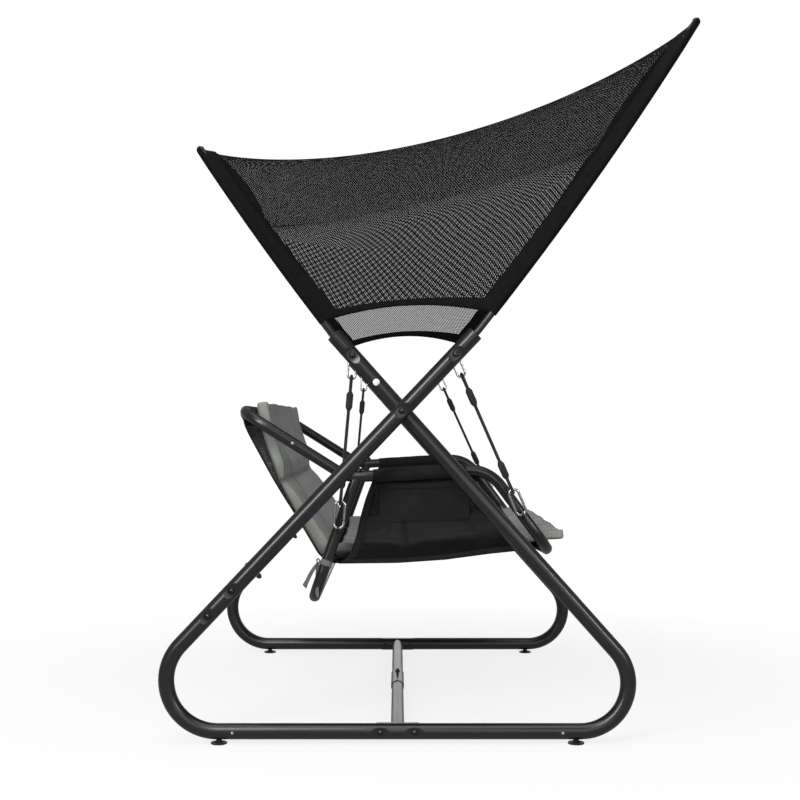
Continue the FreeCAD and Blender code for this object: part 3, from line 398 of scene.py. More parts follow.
# ---- canopy ----
# The sheet hangs between the canopy arms: s runs from the rear arm to the front arm, and across
# from -1 to 1 up one side panel, over the roof and down the other.
RAIL_Z, CROSS_F, CROSS_Z, LEAN = 0.034, 0.0124, 0.9145, 0.0226
REAR_ANGLE, FRONT_ANGLE = math.radians(46.55), math.radians(48.3)
TOP_Z, SIDE_X = 1.124, 0.7
FRONT_TIP, REAR_TIP = (0.814, 1.976), (-0.545, 1.638)
LOWER_FRONT_Z, LOWER_REAR_Z = 1.186, 1.166
# Shares of the half width, from the middle out: the roof's flat ends, the side panel begins,
# and the length of the rounded turn between them.
ROOF_END, SIDE_START, TURN = 0.38, 0.62, 0.24
ROWS, COLUMNS = 201, 81
SHEET_INSET = 0.0012
NET_THICK, HEM_THICK = 0.0003, 0.0026


def rear_diagonal_at(side, z):
    lean = LEAN * (z - RAIL_Z) / (CROSS_Z - RAIL_Z)
    return at(side * (SIDE_X + lean), CROSS_F + (z - CROSS_Z) / math.tan(REAR_ANGLE), z)


def front_leg_at(side, z):
    lean = LEAN * (z - RAIL_Z) / (CROSS_Z - RAIL_Z)
    return at(side * (SIDE_X - lean), CROSS_F - (z - CROSS_Z) / math.tan(FRONT_ANGLE), z)


def arm_circle(side, front):
    """Centre and radius of an arm's long bow, and the side of the centre that it lies on."""
    place = rear_diagonal_at if front else front_leg_at
    rise = math.radians(51.6 if front else 52.2)
    tip_f, tip_z = FRONT_TIP if front else REAR_TIP
    end = place(side, TOP_Z)
    along = (end - place(side, RAIL_Z + 0.3)).normalized()
    heading = Vector((0, math.cos(rise) * (-1 if front else 1), math.sin(rise)))
    corner = end + along * 0.012
    turn = math.pi - along.angle(heading)
    leave = corner + heading * (0.12 / math.tan(turn / 2))
    tip = at(corner.x, tip_f, tip_z)
    chord = tip - leave
    inward = (heading - chord.normalized() * heading.dot(chord.normalized())).normalized()
    radius = chord.length / 2 / math.sin(heading.angle(chord))
    across = Vector((0, -heading.z, heading.y))
    if across.dot(inward) > 0:
        across = -across
    return leave + across * radius, radius, 1 if across.y < 0 else -1


ARMS = {(side, front): arm_circle(side, front) for side in (-1, 1) for front in (True, False)}


def arm_point(side, front, z):
    centre, radius, toward = ARMS[side, front]
    return Vector((centre.x, centre.y + toward * math.sqrt(max(radius ** 2 - (z - centre.z) ** 2, 0)), z))


def canopy_point(s, across):
    """Point of the hung sheet, SHEET_INSET inside the surface through the arms."""
    side = -1 if across < 0 else 1
    span = abs(across)
    bulge = 4 * s * (1 - s)
    shoulder = 0.045 + 0.22 * bulge
    if span > SIDE_START:
        rise, width = (1 - span) / ROOF_END * (1 - shoulder), 1.0
    elif span > ROOF_END:
        angle = (SIDE_START - span) / TURN * math.pi / 2
        rise = 1 - shoulder + shoulder * math.sin(angle)
        width = 1 - shoulder * 0.9 * (1 - math.cos(angle))
    else:
        rise, width = 1.0, span / ROOF_END * (1 - shoulder * 0.9)
    edge_rear = 0.025 * (1 - width ** 2) * rise ** 6
    edge_front = 1 - 0.020 * (1 - width ** 2) * rise ** 6
    s = edge_rear + s * (edge_front - edge_rear)
    bulge = 4 * s * (1 - s)
    rear = arm_point(side, False, LOWER_REAR_Z + (REAR_TIP[1] - LOWER_REAR_Z) * rise)
    front = arm_point(side, True, LOWER_FRONT_Z + (FRONT_TIP[1] - LOWER_FRONT_Z) * rise)
    margin = 0.013 / (front - rear).length
    point = rear + (front - rear) * (margin + s * (1 - 2 * margin))
    pull = 0.095 * bulge * (0.35 + 0.65 * math.sin(math.pi * (0.12 + 0.6 * (1 - rise))))
    x = (abs(point.x) - pull * (1 - 0.3 * rise)) * width - SHEET_INSET * width ** 4
    sag = 0.109 * bulge ** 0.85 * rise ** 1.5 if bulge > 0 else 0.0
    lift = 0.036 * bulge * (1 - rise) ** 2
    crown = 0.026 * (1 - width ** 2) * rise * bulge
    z = point.z - sag + lift + crown - SHEET_INSET * (1 - width ** 6) * rise
    return Vector((side * x, point.y, z))


canopy_grid = [[canopy_point(j / (COLUMNS - 1), -1.0 + 2.0 * i / (ROWS - 1)) for j in range(COLUMNS)]
               for i in range(ROWS)]
canopy = cloth("canopy_sheet", canopy_grid, NET_THICK, "canopy_mesh", "stand", "canopy_mesh")
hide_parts("canopy_fabric")


def hem(name, grid):
    """Doubled cloth along an edge of the sheet."""
    cloth(name, grid, HEM_THICK, "canopy_band", "stand", "canopy_mesh")


for name, side in SIDES:
    low = [[canopy_point(0.004 + 0.992 * j / (COLUMNS - 1), side * (1.0 - 0.0062 * i))
            for j in range(COLUMNS)] for i in range(4)]
    hem("canopy_lower_hem_" + name, low)
for end, start in (("front", 1.0), ("rear", 0.0)):
    sign = -1 if start else 1
    strip = [[canopy_point(start + sign * 0.007 * i, -SIDE_START + 2 * SIDE_START * j / 160)
              for j in range(161)] for i in range(4)]
    hem("canopy_" + end + "_hem", strip)


def canopy_sleeve(name, side, front):
    """Sleeve round an arm with a flat opaque band beside it, closed over the arm's tip."""
    low = LOWER_FRONT_Z if front else LOWER_REAR_Z
    tip = FRONT_TIP[1] if front else REAR_TIP[1]
    count, around, rings = 72, 44, 5
    verts, uv = [], []
    run = 0.0
    before = None
    for i in range(count):
        rise = i / (count - 1)
        z = low - 0.004 + (tip - low + 0.004) * rise
        centre = arm_point(side, front, z)
        ahead = arm_point(side, front, z + 0.002) - arm_point(side, front, z - 0.002)
        tangent = ahead.normalized()
        if before is not None:
            run += (centre - before).length
        before = centre
        span = 0.9999 - ROOF_END * rise
        edge = 1.0 if front else 0.0
        inner = canopy_point(edge + (-0.05 if front else 0.05), side * span)
        toward = inner - centre
        toward = (toward - tangent * toward.dot(tangent)).normalized()
        out = tangent.cross(toward).normalized()
        taper = 1 - smooth(0.88 if front else 0.95, 1.0, rise) * 0.75
        reach = (0.053 - 0.019 * rise if front else 0.054 - 0.022 * rise) * taper
        snug = 0.0127 * (1 - 0.05 * smooth(0.9, 1.0, rise))
        pucker = 0.0005 * math.sin(run * 150) * math.sin(run * 37 + side)
        for j in range(around):
            angle = 2 * math.pi * j / around
            c, d = math.cos(angle), math.sin(angle)
            tail = max(0.0, c) ** 5
            across = c * snug * (1 - tail) + reach * tail
            thick = d * (snug + pucker) * (1 - tail) + d * 0.004 * tail
            if c > 0:
                thick *= 1 - 0.55 * c
            verts.append(centre + toward * across + out * thick)
            uv.append((run, angle * 0.013))
    faces = grid_faces(count, around, wrap=True)
    last = (count - 1) * around
    end_ring = [last + j for j in range(around)]
    heading = (arm_point(side, front, tip) - arm_point(side, front, tip - 0.004)).normalized()
    middle = arm_point(side, front, tip)
    for k in range(1, rings + 1):
        lean = math.pi / 2 * k / rings
        base = len(verts)
        for j in range(around):
            start = verts[last + j] - middle
            verts.append(middle + start * math.cos(lean) * (1 if k < rings else 0.0)
                         + heading * 0.0125 * math.sin(lean))
            uv.append((run + 0.012 * k / rings, 0.013 * j / around))
        for j in range(around):
            m = (j + 1) % around
            faces.append((end_ring[j], end_ring[m], base + m, base + j))
        end_ring = [base + j for j in range(around)]
    piece = add(name, verts, faces, "canopy_band", "stand", uv)
    return piece


for name, side in SIDES:
    for end in ("front", "rear"):
        sleeve = canopy_sleeve("canopy_sleeve_" + end + "_" + name, side, end == "front")
        if name == "right" and end == "front":
            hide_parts("canopy_sleeves")

reach = max(sum((b - a).length for a, b in zip(row, row[1:])) for row in canopy_grid)


# ---- seat textiles ----
SEAT_X, SEAT_R = 0.600, 0.016
BACK_RAIL, FRONT_RAIL = (-0.438, 0.914), (0.430, 0.519)
ELBOW, ARM_FRONT = (-0.1413, 0.7281), (0.2566, 0.7518)
PANEL_X = 0.577
SLING_STEP, SLING_COLUMNS = 0.009, 97
MESH_THICK, SLING_HEM_THICK, SLEEVE_THICK, PANEL_HEM_THICK = 0.0012, 0.0032, 0.0016, 0.003
POCKET_THICK, LIP_THICK = 0.0014, 0.0022
SEAT_BAND = ("seat_band", "seat", "seat_mesh")
PAN = [(-0.196, 0.479), (0.0, 0.482), (0.135, 0.491), (0.263, 0.508), (0.406, 0.522)]
SLING = [(-0.4535, 0.906), (-0.341, 0.699), (-0.226, 0.503)] + PAN


def side_line(places, radius, step):
    """A side-view line (forward, height) with rounded corners, at even steps."""
    corners = [Vector((f, 0, z)) for f, z in places]
    return [(p.x, p.z) for p in resample(rounded(corners, radius), step)]


def line_normals(line):
    """Unit normals to the left of a side-view line, which is up where it runs forward."""
    out = []
    for i in range(len(line)):
        (f0, z0), (f1, z1) = line[max(i - 1, 0)], line[min(i + 1, len(line) - 1)]
        size = math.hypot(f1 - f0, z1 - z0)
        out.append(((z0 - z1) / size, (f1 - f0) / size))
    return out


sling_line = side_line(SLING, 0.045, SLING_STEP)
sling_normals = line_normals(sling_line)


def sling_half(index):
    """Half width of the mesh: it is rounded off at the top where the back rail bends."""
    down = index * SLING_STEP
    inner, centre, depth = 0.060, 0.518, 0.082
    if down >= depth:
        return PANEL_X - 0.002
    return min(PANEL_X - 0.002, centre - 0.003 + math.sqrt(max(0.0, inner ** 2 - (depth - down) ** 2)))


def sling_row(index, low=-1.0, high=1.0, count=SLING_COLUMNS, lift=0.0):
    (f, z), (nf, nz) = sling_line[index], sling_normals[index]
    half = sling_half(index)
    row = []
    for j in range(count):
        share = low + (high - low) * j / (count - 1)
        x = half * share
        load = 0.004 * (1 - share * share) * math.sin(math.pi * index / (len(sling_line) - 1))
        curl = 0.007 * max(0.0, abs(share) - 0.93) / 0.07 * smooth(0.15, 0.4, index / len(sling_line))
        row.append(at(x, f + nf * (curl - load + lift), z + nz * (curl - load + lift)))
    return row


sling_grid = [sling_row(i) for i in range(len(sling_line))]
sling = cloth("seat_sling_sheet", sling_grid, MESH_THICK, "seat_mesh", "seat", "seat_mesh")
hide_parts("seat_sling")
for name, side in SIDES:
    edge = [sling_row(i, side * 0.955, side * 1.0, 5, -0.0004) for i in range(len(sling_line))]
    cloth("sling_hem_" + name, edge, SLING_HEM_THICK, *SEAT_BAND)


def rail_sleeve(name, centre, start, sweep, leave):
    """Sleeve of the mesh round a rail, with its doubled hem running back along the sheet."""
    half, radius, turns = 0.512, 0.0172, 28
    arc = []
    for k in range(turns + 1):
        angle = math.radians(start) + math.radians(sweep) * k / turns
        arc.append((centre[0] + radius * math.cos(angle), centre[1] + radius * math.sin(angle)))
    grid = [[at(half * (2 * j / 80 - 1), f, z) for j in range(81)] for f, z in arc + leave]
    for row in grid:
        for j, point in enumerate(row):
            point.z += 0.0005 * math.sin(j * 0.9) * math.sin(j * 0.31)
    cloth(name, grid, SLEEVE_THICK, *SEAT_BAND)


back_leave = [(f + nf * SLEEVE_THICK, z) for (f, z), (nf, nz) in zip(sling_line[:5], sling_normals)]
rail_sleeve("sling_sleeve_back", BACK_RAIL, -25, 232, back_leave)
front_leave = [(f, z - SLEEVE_THICK) for f, z in sling_line[-2:-6:-1]]
rail_sleeve("sling_sleeve_front", FRONT_RAIL, 170, -262, front_leave)


def line_at(places, share):
    """Point at a share of a side-view polyline's length."""
    points = [Vector((f, 0, z)) for f, z in places]
    lengths = [(b - a).length for a, b in zip(points, points[1:])]
    want = share * sum(lengths)
    for a, b, length in zip(points, points[1:], lengths):
        if want <= length + 1e-9:
            p = a.lerp(b, want / length)
            return p.x, p.z
        want -= length
    return places[-1]


PANEL_TOP = [(-0.072, 0.7165), (0.075, 0.7255), (0.226, 0.7335)]
PANEL_LOW = [(-0.168, 0.4815), (0.0, 0.4835), (0.135, 0.4925), (0.263, 0.5095), (0.388, 0.5225)]
PANEL_REAR = side_line([(-0.072, 0.7165), (-0.092, 0.665), (-0.107, 0.610), (-0.118, 0.556),
                        (-0.139, 0.502), (-0.168, 0.4815)], 0.04, 0.01)
PANEL_FRONT = side_line([(0.226, 0.7335), (0.272, 0.668), (0.322, 0.603), (0.388, 0.5225)], 0.08, 0.01)


def panel_point(side, u, t, out=0.0):
    """u runs from the panel's rear edge to its front edge, t from the arm down to the pan."""
    top, low = line_at(PANEL_TOP, u), line_at(PANEL_LOW, u)
    rear, front = line_at(PANEL_REAR, t), line_at(PANEL_FRONT, t)
    corners = (PANEL_TOP[0], PANEL_TOP[-1], PANEL_LOW[0], PANEL_LOW[-1])
    place = []
    for k in (0, 1):
        flat_part = ((1 - u) * (1 - t) * corners[0][k] + u * (1 - t) * corners[1][k]
                     + (1 - u) * t * corners[2][k] + u * t * corners[3][k])
        place.append((1 - u) * rear[k] + u * front[k] + (1 - t) * top[k] + t * low[k] - flat_part)
    ridge = math.exp(-((t - 0.72) / 0.13) ** 2) * 0.0085 * math.sin(math.pi * min(1, max(0, u))) ** 0.6
    sag = 0.003 * math.sin(math.pi * t)
    fold = 0.0016 * math.sin(9 * u + 5 * t) * math.sin(math.pi * t) * math.sin(math.pi * u)
    x = 0.5826 - 0.0052 * smooth(0.0, 0.9, t) + ridge + sag + fold + out
    return at(side * x, place[0], place[1])


def pocket_point(side, u, t, out):
    """The pocket is set on the panel, its mouth hanging slightly open at the top."""
    place = []
    corners = ((-0.056, 0.7135), (0.205, 0.7215), (-0.050, 0.6010), (0.205, 0.6070))
    for k in (0, 1):
        place.append((1 - t) * ((1 - u) * corners[0][k] + u * corners[1][k])
                     + t * ((1 - u) * corners[2][k] + u * corners[3][k]))
    base = 0.5842 + 0.0012
    rim = min(1.0, 6 * min(u, 1 - u)) * min(1.0, 5 * (1 - t))
    belly = 0.0055 * math.sin(math.pi * u) ** 0.5 * (1 - t) ** 0.7 + 0.002 * math.sin(math.pi * t)
    droop = 0.005 * math.sin(math.pi * u) * (1 - t)
    ripple = 0.0008 * math.sin(14 * u + 3 * t)
    x = base + rim * (belly + ripple) + 0.003 * smooth(0.3, 0.9, t) + out
    return at(side * x, place[0], place[1] - droop)


def sleeve_radius(share, angle, length):
    """Section of the sleeve that closes the panel over the arm tube."""
    ends = smooth(0.0, 0.02, share) * smooth(0.0, 0.02, 1 - share)
    return 0.01745 + 0.0006 * ends + 0.0004 * math.sin(length * 90 + angle) * math.sin(length * 31)


PANEL_ROWS, PANEL_COLUMNS = 61, 97
HEM_LIFT = 0.0003
for name, side in SIDES:
    down = [i / (PANEL_ROWS - 1) for i in range(PANEL_ROWS)]
    along = [j / (PANEL_COLUMNS - 1) for j in range(PANEL_COLUMNS)]
    grid = [[panel_point(side, u, t) for u in along] for t in down]
    panel = cloth("side_panel_" + name, grid, MESH_THICK, "seat_mesh", "seat", "seat_mesh")
    if name == "right":
        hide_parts("side_panels")
    edges = {
        "rear": [[panel_point(side, 0.052 * k / 4, t, HEM_LIFT) for k in range(5)] for t in down],
        "front": [[panel_point(side, 1 - 0.038 * k / 4, t, HEM_LIFT) for k in range(5)] for t in down],
        "low": [[panel_point(side, u, 1 - 0.075 * k / 4, HEM_LIFT) for k in range(5)] for u in along],
        "top": [[panel_point(side, u, 0.085 * k / 4, HEM_LIFT) for k in range(5)] for u in along],
    }
    for key, strip in edges.items():
        cloth("panel_" + key + "_hem_" + name, strip, PANEL_HEM_THICK, *SEAT_BAND)
    direction = (at(0, *ARM_FRONT) - at(0, *ELBOW)).normalized()
    start = at(side * SEAT_X, *ELBOW) + direction * 0.0725
    end = at(side * SEAT_X, *ARM_FRONT) - direction * 0.0625
    path = resample([start, end], 0.004)
    sleeve = loft("arm_sleeve_" + name, path, sleeve_radius, 40, *SEAT_BAND, caps=False)
    thicken(sleeve, MESH_THICK)

    grid = [[pocket_point(side, j / 60, i / 36, 0.0) for j in range(61)] for i in range(37)]
    pocket = cloth("side_pocket_" + name, grid, POCKET_THICK, *SEAT_BAND)
    if name == "right":
        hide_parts("side_pockets")
    band = [[pocket_point(side, j / 60, 0.16 * k / 4 - 0.004, 0.0006) for k in range(5)] for j in range(61)]
    lip = cloth("pocket_lip_" + name, band, LIP_THICK, *SEAT_BAND)


# ---- cushions ----
CHANNELS = (-0.276, 0.0, 0.276)
PAD_HALF, PAD_STEP, PAD_FILL = 0.546, 0.0125, 0.6
BACK_THICK, SEAT_THICK = 0.053, 0.048
PUFF_CAP, PUFF_FRAMES = 0.016, 20


def cushion(name, node, line, thickness, breaks, curl=0.0, swell=0.0):
    """Quilted pad on a side-view line: a closed box lattice, puffed by a cloth simulation.

    breaks are the sewn rows across the pad, as distances along the line; swell thickens the line's
    last quarter metre, and curl lifts the sides near its start. The underside and the
    sewn channels are held, and everything else swells under pressure.
    """
    normals = line_normals(line)
    lengths = [0.0]
    for (f0, z0), (f1, z1) in zip(line, line[1:]):
        lengths.append(lengths[-1] + math.hypot(f1 - f0, z1 - z0))
    total = lengths[-1]
    count_i, count_j, count_k = len(line) - 1, 92, 4
    xs = [PAD_HALF * (2 * j / count_j - 1) for j in range(count_j + 1)]
    sewn_j = [min(range(count_j + 1), key=lambda j: abs(xs[j] - c)) for c in CHANNELS]
    sewn_i = [min(range(count_i + 1), key=lambda i: abs(lengths[i] - b)) for b in breaks]

    def place(i, j, k):
        near_x = min(abs(xs[j] - xs[c]) for c in sewn_j)
        near_v = min(abs(lengths[i] - lengths[b]) for b in sewn_i)
        ends = min(lengths[i], total - lengths[i])
        inward = 0.3 + 0.7 * smooth(0.0, 0.07, ends)
        dip = max(0.75 * inward * math.exp(-(near_x / 0.022) ** 2), 1.3 * math.exp(-(near_v / 0.024) ** 2))
        sides = PAD_HALF - abs(xs[j])
        crown = (1 - 0.12 * (1 - smooth(0.0, 0.055, ends))) * (1 - 0.06 * (1 - smooth(0.0, 0.04, sides)))
        full = (thickness - 0.009) * (1 + swell * smooth(total - 0.25, total, lengths[i]))
        height = full * (1 - 0.55 * dip) * crown * k / count_k
        pull = 0.004 * math.exp(-(near_x / 0.03) ** 2)
        tuck = 0.016 * math.exp(-(near_v / 0.03) ** 2)
        f, z = line[i]
        nf, nz = normals[i]
        along = 0.0
        if i in (0, count_i):
            along = pull * (1 if i == 0 else -1)
        x = xs[j]
        if j in (0, count_j):
            x -= math.copysign(tuck, x)
        height += curl * smooth(0.47, PAD_HALF, abs(x)) * (1 - smooth(0.3, 0.6, lengths[i]))
        return at(x, f + nf * height + nz * along, z + nz * height - nf * along)

    index, points = {}, []
    for i in range(count_i + 1):
        for j in range(count_j + 1):
            for k in range(count_k + 1):
                if i in (0, count_i) or j in (0, count_j) or k in (0, count_k):
                    index[i, j, k] = len(points)
                    points.append(place(i, j, k))
    faces = []
    for k, turn in ((0, 1), (count_k, -1)):
        for i in range(count_i):
            for j in range(count_j):
                quad = (index[i, j, k], index[i + 1, j, k], index[i + 1, j + 1, k], index[i, j + 1, k])
                faces.append(quad[::turn])
    for j, turn in ((0, 1), (count_j, -1)):
        for i in range(count_i):
            for k in range(count_k):
                quad = (index[i, j, k], index[i, j, k + 1], index[i + 1, j, k + 1], index[i + 1, j, k])
                faces.append(quad[::turn])
    for i, turn in ((0, -1), (count_i, 1)):
        for j in range(count_j):
            for k in range(count_k):
                quad = (index[i, j, k], index[i, j, k + 1], index[i, j + 1, k + 1], index[i, j + 1, k])
                faces.append(quad[::turn])
    pad = add(name, points, faces, "cushion_cloth", "seat")
    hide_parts(node)
    held, seam_shade = [0.0] * len(points), [0.0] * len(points)
    for (i, j, k), n in index.items():
        channel = j in sewn_j or i in sewn_i
        rim = k in (0, count_k) and (i in (0, count_i) or j in (0, count_j))
        if channel:
            held[n] = 1.0 if k == count_k else 0.85
        elif k == 0:
            held[n] = 1.0
        elif rim:
            held[n] = 0.25
        # Weights of the painted shade: 1 along the sewn channels, 0.75 along the rim seams.
        if channel and k > 0:
            seam_shade[n] = 1.0
        elif rim:
            seam_shade[n] = 0.75
    group = pad.vertex_groups.new(name="held")
    for n, weight in enumerate(held):
        if weight:
            group.add([n], weight, "REPLACE")
    puff(pad, group.name)
    layer = pad.data.attributes.new("seam_shade", "FLOAT", "POINT")
    layer.data.foreach_set("value", seam_shade)
    pad.vertex_groups.clear()
    ease = pad.modifiers.new("ease", "SMOOTH")
    ease.factor = 0.5
    ease.iterations = 7
    smoother = pad.modifiers.new("round", "SUBSURF")
    smoother.levels = smoother.render_levels = 1


def puff(pad, group):
    """Swell the pad under pressure, keep each point within a cap of where it began, and keep the result."""
    start = np.empty(len(pad.data.vertices) * 3)
    pad.data.vertices.foreach_get("co", start)
    sim = pad.modifiers.new("cloth", "CLOTH")
    settings = sim.settings
    settings.quality = 7
    settings.mass = 0.25
    settings.tension_stiffness = settings.compression_stiffness = 16
    settings.shear_stiffness = 6
    settings.bending_stiffness = 0.6
    settings.use_pressure = True
    settings.uniform_pressure_force = 4.0
    settings.shrink_min = -0.045
    settings.vertex_group_mass = group
    settings.pin_stiffness = 1.0
    settings.effector_weights.gravity = 0.0
    sim.collision_settings.use_collision = False
    for frame_number in range(1, PUFF_FRAMES + 1):
        bpy.context.scene.frame_set(frame_number)
    solved = pad.evaluated_get(bpy.context.evaluated_depsgraph_get())
    moved = np.empty_like(start)
    solved.data.vertices.foreach_get("co", moved)
    pad.modifiers.remove(sim)
    shift = (moved - start).reshape(-1, 3)
    size = np.linalg.norm(shift, axis=1)
    share = np.where(size > 1e-9, PUFF_CAP * np.tanh(size / PUFF_CAP) / np.maximum(size, 1e-9), 0)
    pad.data.vertices.foreach_set("co", (start.reshape(-1, 3) + shift * share[:, None]).ravel())
    pad.data.update()
    bpy.context.scene.frame_set(1)


BACK_LINE = [(-0.408, 0.943), (-0.394, 0.862), (-0.338, 0.703), (-0.224, 0.492)]
SEAT_LINE = [(-0.184, 0.4845), (0.0, 0.4845), (0.135, 0.4935), (0.263, 0.5105), (0.385, 0.5335),
             (0.415, 0.5445), (0.482, 0.547)]
back_line = side_line(BACK_LINE, 0.05, PAD_STEP)
cushion("cushion_back_pad", "cushion_back", back_line, BACK_THICK, (0.238,), swell=0.4)
seat_line = side_line(SEAT_LINE, 0.06, PAD_STEP)
cushion("cushion_seat_pad", "cushion_seat", seat_line, SEAT_THICK, (0.215, 0.43), curl=0.024)


# ---- ropes ----
ROPE_R, WHIPPING_R, CORD_PITCH = 0.0048, 0.0098, 0.0017
STRANDS, BRAID_PITCH, BRAID_RELIEF = 8, 0.021, 0.16
# Upper and lower hook pivots of the left ropes, mirrored for the right, and the lower hook's play.
ROPE_ENDS = {
    "rear": ((0.630, 0.210979, 1.0585), (0.630, 0.252132, 0.594463), 0.0),
    "front": ((0.682553, -0.072115, 1.0585), (0.631080, -0.260914, 0.634118), 0.0024),
}


def braid(radius):
    """Section of a braided rope: two families of crossing strands."""
    def section(share, angle, length):
        turn = 2 * math.pi * length / BRAID_PITCH
        one = math.cos(STRANDS / 2 * (angle + turn))
        two = math.cos(STRANDS / 2 * (angle - turn))
        over = math.sin(STRANDS / 2 * angle + 0.6) * math.sin(STRANDS / 2 * turn)
        if math.copysign(1.0, over) > 0:
            raised = max(one, two)
        else:
            raised = max(min(one, two) + 0.5, max(one, two) * 0.8)
        return radius * (1 - BRAID_RELIEF + BRAID_RELIEF * (0.5 + 0.5 * raised))
    return section


def whipping(share, angle, length):
    """Tight turns of cord over the splice, narrower at both ends."""
    ends = smooth(0.0, 0.16, share) * smooth(0.0, 0.2, 1 - share)
    ring = abs(math.sin(math.pi * (length / CORD_PITCH + angle / (2 * math.pi))))
    return WHIPPING_R * (0.62 + 0.36 * ends) + 0.0004 * ring


def rope_set(end, name, side):
    top, low, play = ROPE_ENDS[end]
    top, low = Vector(top), Vector(low)
    top.x *= side
    low.x *= side
    up = (top - low).normalized()
    across = Vector((1, 0, 0))
    across = (across - up * across.dot(up)).normalized()
    marks, pieces = [], []
    slot = ("rope", end + "_ropes", "rope")
    for level, foot, inward, wire, centre in (
            ("upper", top, -up, 0.003, 0.0537), ("lower", low, up, 0.004, 0.0687 - play)):
        bar = foot + inward * centre
        loop_r = wire + ROPE_R + 0.0003
        throat = bar + inward * 0.034
        leg = [throat + inward * 0.014 + across * 0.0034, throat + across * 0.0042,
               bar + across * loop_r + inward * 0.008, bar + across * loop_r]
        curve = rounded(leg, 0.014)
        turns = [math.pi * k / 16 for k in range(1, 16)]
        arc = [bar + across * loop_r * math.cos(a) - inward * loop_r * math.sin(a) for a in turns]
        mirrored = [p - across * 2 * (p - bar).dot(across) for p in reversed(curve)]
        path = resample(curve + arc + mirrored, 0.0011)
        pieces.append(loft(f"{end}_rope_{level}_eye_{name}", path, braid(ROPE_R - 0.0002), 28, *slot))
        start, stop = throat + inward * 0.002, throat + inward * 0.054
        path = resample([start, stop], 0.00045)
        pieces.append(loft(f"{end}_rope_{level}_whipping_{name}", path, whipping, 28, *slot))
        marks.append(stop)
    path = resample([marks[0] + up * 0.004, marks[1] - up * 0.004], 0.0009)
    pieces.append(loft(f"{end}_rope_{name}", path, braid(ROPE_R), 32, *slot))
    return pieces


for end in ("rear", "front"):
    for name, side in SIDES:
        pieces = rope_set(end, name, side)
        if name == "right":
            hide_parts(end + "_ropes")


# ---- cushion ties ----
UNDER_TOP, UNDER_LOW, TIE_Z = (-0.1139, 0.733), (-0.239, 0.382), 0.484
RIBBON_THICK = 0.0010
# The steps across a ribbon, from one edge to the other.
ACROSS = [2 * m / 6 - 1 for m in range(7)]
# Name, reach rearward, drop, twist and rearward wave of each tail.
TAILS = (("long", 0.004, 0.096, 0.3, 0.001), ("short", 0.040, 0.068, -0.3, 0.0015))


def ribbon(name, rows):
    return cloth(name, rows, RIBBON_THICK, "ribbon", "seat", "cushion_cloth")


for name, side in SIDES:
    leg_high, leg_low = at(side * SEAT_X, *UNDER_TOP), at(side * SEAT_X, *UNDER_LOW)
    down = (leg_low - leg_high).normalized()
    share = (UNDER_TOP[1] - TIE_Z) / (UNDER_TOP[1] - UNDER_LOW[1])
    centre = leg_high.lerp(leg_low, share)
    back = Vector((0, 1, 0))
    back = (back - down * back.dot(down)).normalized()
    out = down.cross(back).normalized()
    wrap = []
    for k in range(41):
        angle = 2 * math.pi * k / 40
        radial = back * math.cos(angle) + out * math.sin(angle)
        skew = down * (0.004 * math.sin(angle))
        pinch = 1 - 0.45 * math.exp(-(min(k, 40 - k) / 3.0) ** 2)
        wrap.append([centre + skew + radial * (SEAT_R + 0.0012) + down * 0.008 * w * pinch for w in ACROSS])
    band = ribbon("tie_band_" + name, wrap)
    knot_at = centre + back * (SEAT_R + 0.007)
    loops = []
    for k in range(25):
        angle = 2 * math.pi * k / 24
        radial = Vector((0, 0, 1)) * math.sin(angle) * 0.0072 + back * math.cos(angle) * 0.0058
        loops.append([knot_at + radial * (1 - 0.35 * w ** 2) + Vector((0.0085, 0, 0)) * w for w in ACROSS])
    knot = ribbon("tie_knot_" + name, loops)
    for label, reach, drop, twist, sway in TAILS:
        tail = []
        for k in range(33):
            t = k / 32
            outward = side * 0.004 * math.sin(3 * t)
            rearward = reach * t ** 0.95 + sway * math.sin(math.pi * 1.3 * t)
            spine = knot_at + Vector((outward, rearward, -drop * t - 0.004))
            turn = twist * t + 0.35
            flat_way = Vector((math.sin(turn), math.cos(turn), 0.25 * math.sin(2 * t)))
            half = 0.0055 * (0.6 + 0.4 * smooth(0.0, 0.25, t))
            cut = 0.005 * t ** 8
            tail.append([spine + flat_way * half * w + Vector((0, 0, cut * (m / 3 - 1)))
                         + Vector((0, 0.0016 * (1 - w ** 2), 0)) for m, w in enumerate(ACROSS)])
        ribbon("tie_tail_" + label + "_" + name, tail)
    if name == "right":
        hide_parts("cushion_ties")


# ---- floor, light and camera ----
FLOOR_R, FLOOR_SIDES = 40, 64


def floor_material(name):
    """Pale floor that catches the shadow near the bench and clears away into the backdrop."""
    mat = bpy.data.materials.new(name)
    mat.use_nodes = True
    tree = mat.node_tree
    shader = tree.nodes["Principled BSDF"]
    shader.inputs["Roughness"].default_value = 0.85
    shader.inputs["Specular IOR Level"].default_value = 0.2
    shader.inputs["Base Color"].default_value = (0.96, 0.96, 0.965, 1)
    clear = tree.nodes.new("ShaderNodeBsdfTransparent")
    coords = tree.nodes.new("ShaderNodeTexCoord")
    length = tree.nodes.new("ShaderNodeVectorMath")
    length.operation = "LENGTH"
    tree.links.new(coords.outputs["Object"], length.inputs[0])
    reach = tree.nodes.new("ShaderNodeMapRange")
    reach.interpolation_type = "SMOOTHSTEP"
    reach.inputs["From Min"].default_value = 0.75
    reach.inputs["From Max"].default_value = 2.6
    reach.inputs["To Min"].default_value = 0.8
    tree.links.new(length.outputs["Value"], reach.inputs["Value"])
    mix = tree.nodes.new("ShaderNodeMixShader")
    tree.links.new(reach.outputs["Result"], mix.inputs[0])
    tree.links.new(shader.outputs[0], mix.inputs[1])
    tree.links.new(clear.outputs[0], mix.inputs[2])
    tree.links.new(mix.outputs[0], tree.nodes["Material Output"].inputs[0])
    return mat


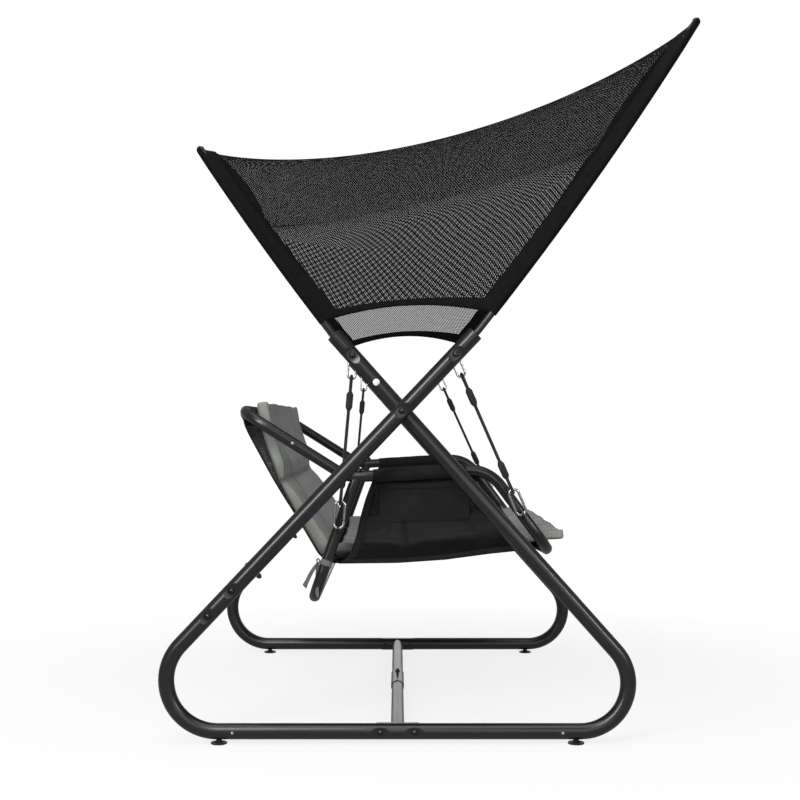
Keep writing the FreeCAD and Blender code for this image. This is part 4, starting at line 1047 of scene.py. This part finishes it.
turns = [2 * math.pi * k / FLOOR_SIDES for k in range(FLOOR_SIDES)]
ring = [(FLOOR_R * math.cos(turn), FLOOR_R * math.sin(turn), 0) for turn in turns]
floor_mesh = bpy.data.meshes.new("floor")
floor_mesh.from_pydata(ring, [], [tuple(range(FLOOR_SIDES))])
floor_mesh.materials.append(floor_material("pale_floor"))
floor = bpy.data.objects.new("floor", floor_mesh)
bpy.context.scene.collection.objects.link(floor)

scene = bpy.context.scene
scene.view_settings.view_transform = "Standard"
# The camera sees a white backdrop; everything else is lit by a dimmer one.
world = bpy.data.worlds.new("studio")
scene.world = world
world.use_nodes = True
tree = world.node_tree
white = tree.nodes["Background"]
white.inputs["Color"].default_value = (1, 1, 1, 1)
white.inputs["Strength"].default_value = 1.02
dim = tree.nodes.new("ShaderNodeBackground")
dim.inputs["Color"].default_value = (0.93, 0.94, 1.0, 1)
dim.inputs["Strength"].default_value = 0.22
rays = tree.nodes.new("ShaderNodeLightPath")
mix = tree.nodes.new("ShaderNodeMixShader")
tree.links.new(rays.outputs["Is Camera Ray"], mix.inputs[0])
tree.links.new(dim.outputs[0], mix.inputs[1])
tree.links.new(white.outputs[0], mix.inputs[2])
tree.links.new(mix.outputs[0], tree.nodes["World Output"].inputs[0])


def soft_box(name, place, target, width, height, power, lengthwise=(0, 0, 1)):
    """Area light facing the target, its height along the lengthwise direction."""
    light = bpy.data.lights.new(name, "AREA")
    light.shape = "RECTANGLE"
    light.size, light.size_y = width, height
    light.energy = power
    lamp = bpy.data.objects.new(name, light)
    away = (Vector(place) - Vector(target)).normalized()
    side = Vector(lengthwise).cross(away).normalized()
    turn = Matrix((side, away.cross(side), away)).transposed()
    lamp.matrix_world = Matrix.Translation(place) @ turn.to_4x4()
    lamp.visible_camera = False
    scene.collection.objects.link(lamp)


middle = (0, 0, 0.9)
soft_box("top_box", (-0.9, 0.0, 4.6), middle, 3.4, 3.4, 72, (0, 1, 0))
soft_box("left_strip", (-3.7, 1.87, 2.66), middle, 1.2, 3.6, 120, (0, -0.687, 0.727))
soft_box("right_strip", (-3.23, -2.93, 1.7), middle, 0.6, 0.8, 25, (0, -0.665, -0.747))
soft_box("camera_fill", (-4.6, -0.9, 1.6), middle, 2.2, 2.2, 18)
soft_box("back_wall", (3.8, 0, 0.9), (0, 0, 0.5), 4.4, 1.3, 16)

camera_data = bpy.data.cameras.new("camera")
camera_data.sensor_width = 36.0
camera_data.lens = 57.1
camera_data.shift_x, camera_data.shift_y = 0.0031, 0.0313
camera = bpy.data.objects.new("camera", camera_data)
camera.location = (-4.19, SHIFT, 0.876)
camera.rotation_euler = (math.pi / 2, 0, -math.pi / 2)
scene.collection.objects.link(camera)
scene.camera = camera
